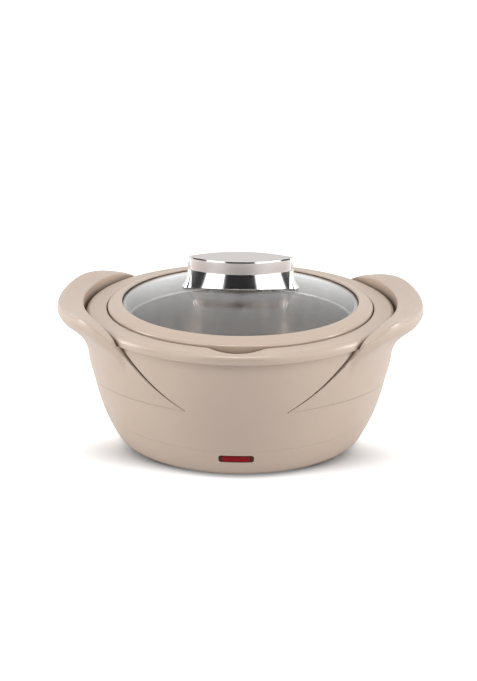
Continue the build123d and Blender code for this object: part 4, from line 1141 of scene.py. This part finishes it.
def eye_loop(shrink=0.0, side_out=0.0, end_out=0.0):
    """Outline of the handle from above: two long arcs between four corners, each end half an ellipse. The
    sides and the ends stand out by shares of the foot's flare."""
    half = grip_half + side_flare * side_out - shrink
    bow = end_bow + foot_flare * end_out
    cx = corner_x - shrink
    ey = end_half + end_flare * side_out - shrink / 2
    sag = half - ey
    radius = (cx**2 + sag**2) / (2 * sag)
    x = cx * np.sin(np.linspace(-pi / 2, pi / 2, 61))
    y = half - radius + np.sqrt(radius**2 - x**2)
    turn = np.linspace(-pi / 2, pi / 2, 19)[1:-1]
    tip_x = cx + bow * np.cos(turn)
    tip_y = ey * np.sin(turn)
    loop_x = np.concatenate((x, tip_x, -x, -tip_x))
    loop_y = np.concatenate((-y, tip_y, y, -tip_y))
    return np.stack((loop_x, loop_y), axis=-1)


def eye_level(z, shrink=0.0, share=1.0):
    """One level of the handle as (x, y, z) points, drawn in to the middle line by share."""
    loop = eye_loop(shrink) * share
    return np.column_stack((loop, np.full(len(loop), z)))


def eye_foot(shrink, flare):
    """Lowest row of the handle, flared out by a share, which follows the dome with a small gap."""
    loop = eye_loop(shrink, flare, flare)
    return np.column_stack((loop, dome(np.hypot(loop[:, 0], loop[:, 1])) + grip_lift))


levels = [eye_level(grip_top_z, edge_in + edge_nose, share) for share in (0.0, 0.4, 0.75, 0.95, 0.99)]
for turn in np.linspace(0, pi / 2, 5):
    levels.append(eye_level(grip_top_z - edge_nose * (1 - cos(turn)), edge_in + edge_nose * (1 - sin(turn))))
levels.append(eye_level(edge_low_z + crease_row, edge_in * crease_row / edge_drop))
for z in np.linspace(edge_low_z - crease_row, grip_band_z + crease_row, 6):
    levels.append(eye_level(z))
grip_foot = eye_foot(0.0, 1.0)
grip_foot_in = eye_foot(foot_nose, 1.0)
for share in (crease_share, *np.linspace(0, 1, 18)[1:-1]):
    loop = eye_loop(0.0, flare_straight * share + (1 - flare_straight) * share**2, share**flare_power)
    level_z = grip_band_z + (grip_foot[:, 2] + foot_nose - grip_band_z) * share
    levels.append(np.column_stack((loop, level_z)))
levels.append(grip_foot + (0.0, 0.0, foot_nose))
nose_row = nose_share * grip_foot_in + (1 - nose_share) * grip_foot
levels.append(nose_row + (0.0, 0.0, nose_share * foot_nose))
levels.append(grip_foot_in)
levels.append(eye_foot(grip_wall, 0.0))
levels.append(eye_level(grip_top_z - grip_wall, grip_wall))
levels.append(eye_level(grip_top_z - grip_wall, grip_wall, 0.0))
lid_handle = skin("chrome_handle", np.stack(levels, axis=1), close_columns=False)
lid_handle.data.set_sharp_from_angle(angle=grip_crease)
bright_chrome = (0.86, 0.86, 0.87)
brushed_tone = (0.78, 0.72, 0.70)
brushed_top = (0.65, 0.60, 0.585)
brush_dark = 0.94
zone_soft = 0.0001
chrome = finish("chrome_grip", bright_chrome, 0.05, 1.0)
grip_x, _, grip_z = axes(chrome)
grip_side = reckon(chrome, "ABSOLUTE", grip_x)
above_foot = range_between(chrome, grip_z, 0.0, 1.0, grip_band_z - zone_soft, grip_band_z + zone_soft)
below_edge = range_between(chrome, grip_z, 1.0, 0.0, edge_low_z - zone_soft, edge_low_z + zone_soft)
off_ends = range_between(chrome, grip_side, 1.0, 0.0, corner_x - 2 * zone_soft, corner_x)
flat_top = range_between(chrome, grip_z, 0.0, 1.0, grip_top_z - edge_nose, grip_top_z - edge_nose / 3)
brushed_band = reckon(chrome, "MULTIPLY", reckon(chrome, "MULTIPLY", above_foot, below_edge), off_ends)
brushed_zone = reckon(chrome, "MAXIMUM", brushed_band, flat_top)
brush = speckle(chrome, 1600.0, stretch=(0.03, 1.0, 1.0))
side_tone = shade_between(chrome, brush, toned(brushed_tone, brush_dark), brushed_tone)
top_tone = shade_between(chrome, brush, toned(brushed_top, brush_dark), brushed_top)
brush_tone = mixed(chrome, flat_top, side_tone, top_tone)
bright_gloss = range_between(chrome, speckle(chrome, 60.0), 0.09, 0.13)
brushed_gloss = range_between(chrome, brush, 0.33, 0.43)
feed(chrome, "Base Color", mixed(chrome, brushed_zone, (*bright_chrome, 1.0), brush_tone))
feed(chrome, "Roughness", mixed(chrome, brushed_zone, bright_gloss, brushed_gloss, data_type="FLOAT"))
dress(lid_handle, "lid", "chrome_grip", chrome, "lid_handle")
coat(moulded("core_plastic", (0.72, 0.71, 0.67), 0.55, mottle=0.04), "handle_insert")

# Stage: a pale floor that takes the shadow, a tall soft box on each side and one overhead, a dark
# curtain and two white cards in front that bright metal mirrors, and the camera of the photograph.
white = (1.0, 1.0, 1.0, 1.0)
floor_half = 8.0
floor_front = -1.2
floor_corners = [
    (-floor_half, floor_front, 0),
    (floor_half, floor_front, 0),
    (floor_half, floor_half, 0),
    (-floor_half, floor_half, 0),
]
floor_mesh = bpy.data.meshes.new("floor")
floor_mesh.from_pydata(floor_corners, [], [(0, 1, 2, 3)])
floor = bpy.data.objects.new("floor", floor_mesh)
bpy.context.scene.collection.objects.link(floor)


def seen_directly(owner, mirror_share):
    """1 for camera and glass rays, the given share for mirror rays, 0 for all others."""
    path = node(owner, "ShaderNodeLightPath").outputs
    direct = reckon(owner, "MAXIMUM", path["Is Camera Ray"], path["Is Transmission Ray"])
    mirrored = reckon(owner, "MULTIPLY", path["Is Glossy Ray"], mirror_share)
    return reckon(owner, "MAXIMUM", direct, mirrored)


# The floor is white where it is seen, but for an oval under the object, where its paper shows the shadow.
shade_middle = (0.0, -0.06, 0.0)
shade_half = (0.15, 0.045, 1.0)
shade_fade = (0.58, 1.33)
under_fade = (0.09, 0.107)
under_light = 0.3
floor_mirrored = 0.5
floor_paper = finish("floor_paper", (0.72, 0.72, 0.72), 0.9)
floor_mesh.materials.append(floor_paper)
floor_spot = own_place(floor_paper)
floor_shift = reckon_vector(floor_paper, "SUBTRACT", floor_spot, shade_middle)
floor_share = reckon_vector(floor_paper, "DIVIDE", floor_shift, shade_half)
floor_oval = reckon_vector(floor_paper, "LENGTH", floor_share)
floor_reach = reckon_vector(floor_paper, "LENGTH", floor_spot)
floor_white = range_between(floor_paper, floor_oval, 0.0, 1.0, *shade_fade)
floor_under = range_between(floor_paper, floor_reach, under_light, 1.0, *under_fade)
floor_light = reckon(floor_paper, "MULTIPLY", floor_white, floor_under)
floor_seen = reckon(floor_paper, "MULTIPLY", floor_light, seen_directly(floor_paper, floor_mirrored))
feed(floor_paper, "Specular IOR Level", 0.0)
feed(floor_paper, "Emission Color", white)
feed(floor_paper, "Emission Strength", floor_seen)


def hung_sheet(name, material, span, reach, rise):
    """Upright curved sheet round the object, between two angles from the front, for mirrors to see."""
    turn = np.linspace(radians(span[0] - 90), radians(span[1] - 90), 40)
    grid = swept_round(np.full(2, reach), np.array(rise), turn)
    sheet = skin(name, grid, close_rows=False, close_columns=False)
    sheet.data.materials.append(material)
    for ray in ("visible_camera", "visible_diffuse", "visible_shadow", "visible_transmission"):
        setattr(sheet, ray, False)


curtain_span = (-76, 76)
curtain_reach = 0.8
curtain_rise = (-0.05, 0.9)
curtain_cloth = finish("curtain_cloth", (0.012, 0.012, 0.013), 1.0)
hung_sheet("dark_curtain", curtain_cloth, curtain_span, curtain_reach, curtain_rise)
left_card_span = (-50, -23)
right_card_span = (20, 58)
card_reach = 0.72
card_rise = (0.05, 0.75)
white_card = finish("white_card", (0.8, 0.8, 0.8), 1.0)
feed(white_card, "Emission Color", white)
feed(white_card, "Emission Strength", 1.0)
hung_sheet("left_card", white_card, left_card_span, card_reach, card_rise)
hung_sheet("right_card", white_card, right_card_span, card_reach, card_rise)

# The backdrop is white where it is seen, and as a light it gives no more than the ambient level.
ambient = 0.44
world = bpy.data.worlds.new("studio")
bpy.context.scene.world = world
world.use_nodes = True
backdrop = world.node_tree.nodes["Background"]
put(world, backdrop, "Color", white)
put(world, backdrop, "Strength", range_between(world, seen_directly(world, 1.0), ambient, 1.0, 0.0, 1.0))


def soft_box(name, place, aim, size, power):
    """Rectangular lamp that faces a point and isn't seen by the camera."""
    lamp = bpy.data.lights.new(name, "AREA")
    lamp.shape = "RECTANGLE"
    lamp.size, lamp.size_y = size
    lamp.energy = power
    holder = bpy.data.objects.new(name, lamp)
    holder.location = place
    holder.rotation_euler = (Vector(aim) - Vector(place)).to_track_quat("-Z", "Y").to_euler()
    holder.visible_camera = False
    bpy.context.scene.collection.objects.link(holder)


aim_point = (0.0, 0.0, 0.08)
box_reach = 1.35
box_turn = radians(82)
box_z = 0.5
box_size = (0.6, 1.0)
box_power = 9.8
top_place = (0.0, -0.55, 1.4)
top_size = (0.7, 0.4)
top_power = 5.8
for side in (-1, 1):
    box_place = (side * box_reach * sin(box_turn), -box_reach * cos(box_turn), box_z)
    soft_box(f"soft_box_{side}", box_place, aim_point, box_size, box_power)
soft_box("top_box", top_place, aim_point, top_size, top_power)

# The camera was fitted to the rings of the lid and the collar in the photograph.
photo_w = 477
photo_h = 681
focal_px = 1400.0
target_px = (240.4, 304.5)
camera_reach = 1.192
camera_rise = radians(17.56)
camera_turn = radians(1.25)
camera_roll = radians(0.4)
camera_data = bpy.data.cameras.new("camera")
camera_data.sensor_width = 36.0
camera_data.lens = focal_px / photo_h * camera_data.sensor_width
camera_data.shift_x = (photo_w / 2 - target_px[0]) / photo_h
camera_data.shift_y = (target_px[1] - photo_h / 2) / photo_h
camera = bpy.data.objects.new("camera", camera_data)
bpy.context.scene.collection.objects.link(camera)
target = Vector((0.0, 0.0, shelf_z))
level_run = cos(camera_rise)
outward = Vector((sin(camera_turn) * level_run, -cos(camera_turn) * level_run, sin(camera_rise)))
camera.location = target + outward * camera_reach
facing = (-outward).to_track_quat("-Z", "Y").to_euler()
facing.rotate_axis("Z", camera_roll)
camera.rotation_euler = facing
bpy.context.scene.camera = camera
bpy.context.scene.view_settings.view_transform = "Standard"
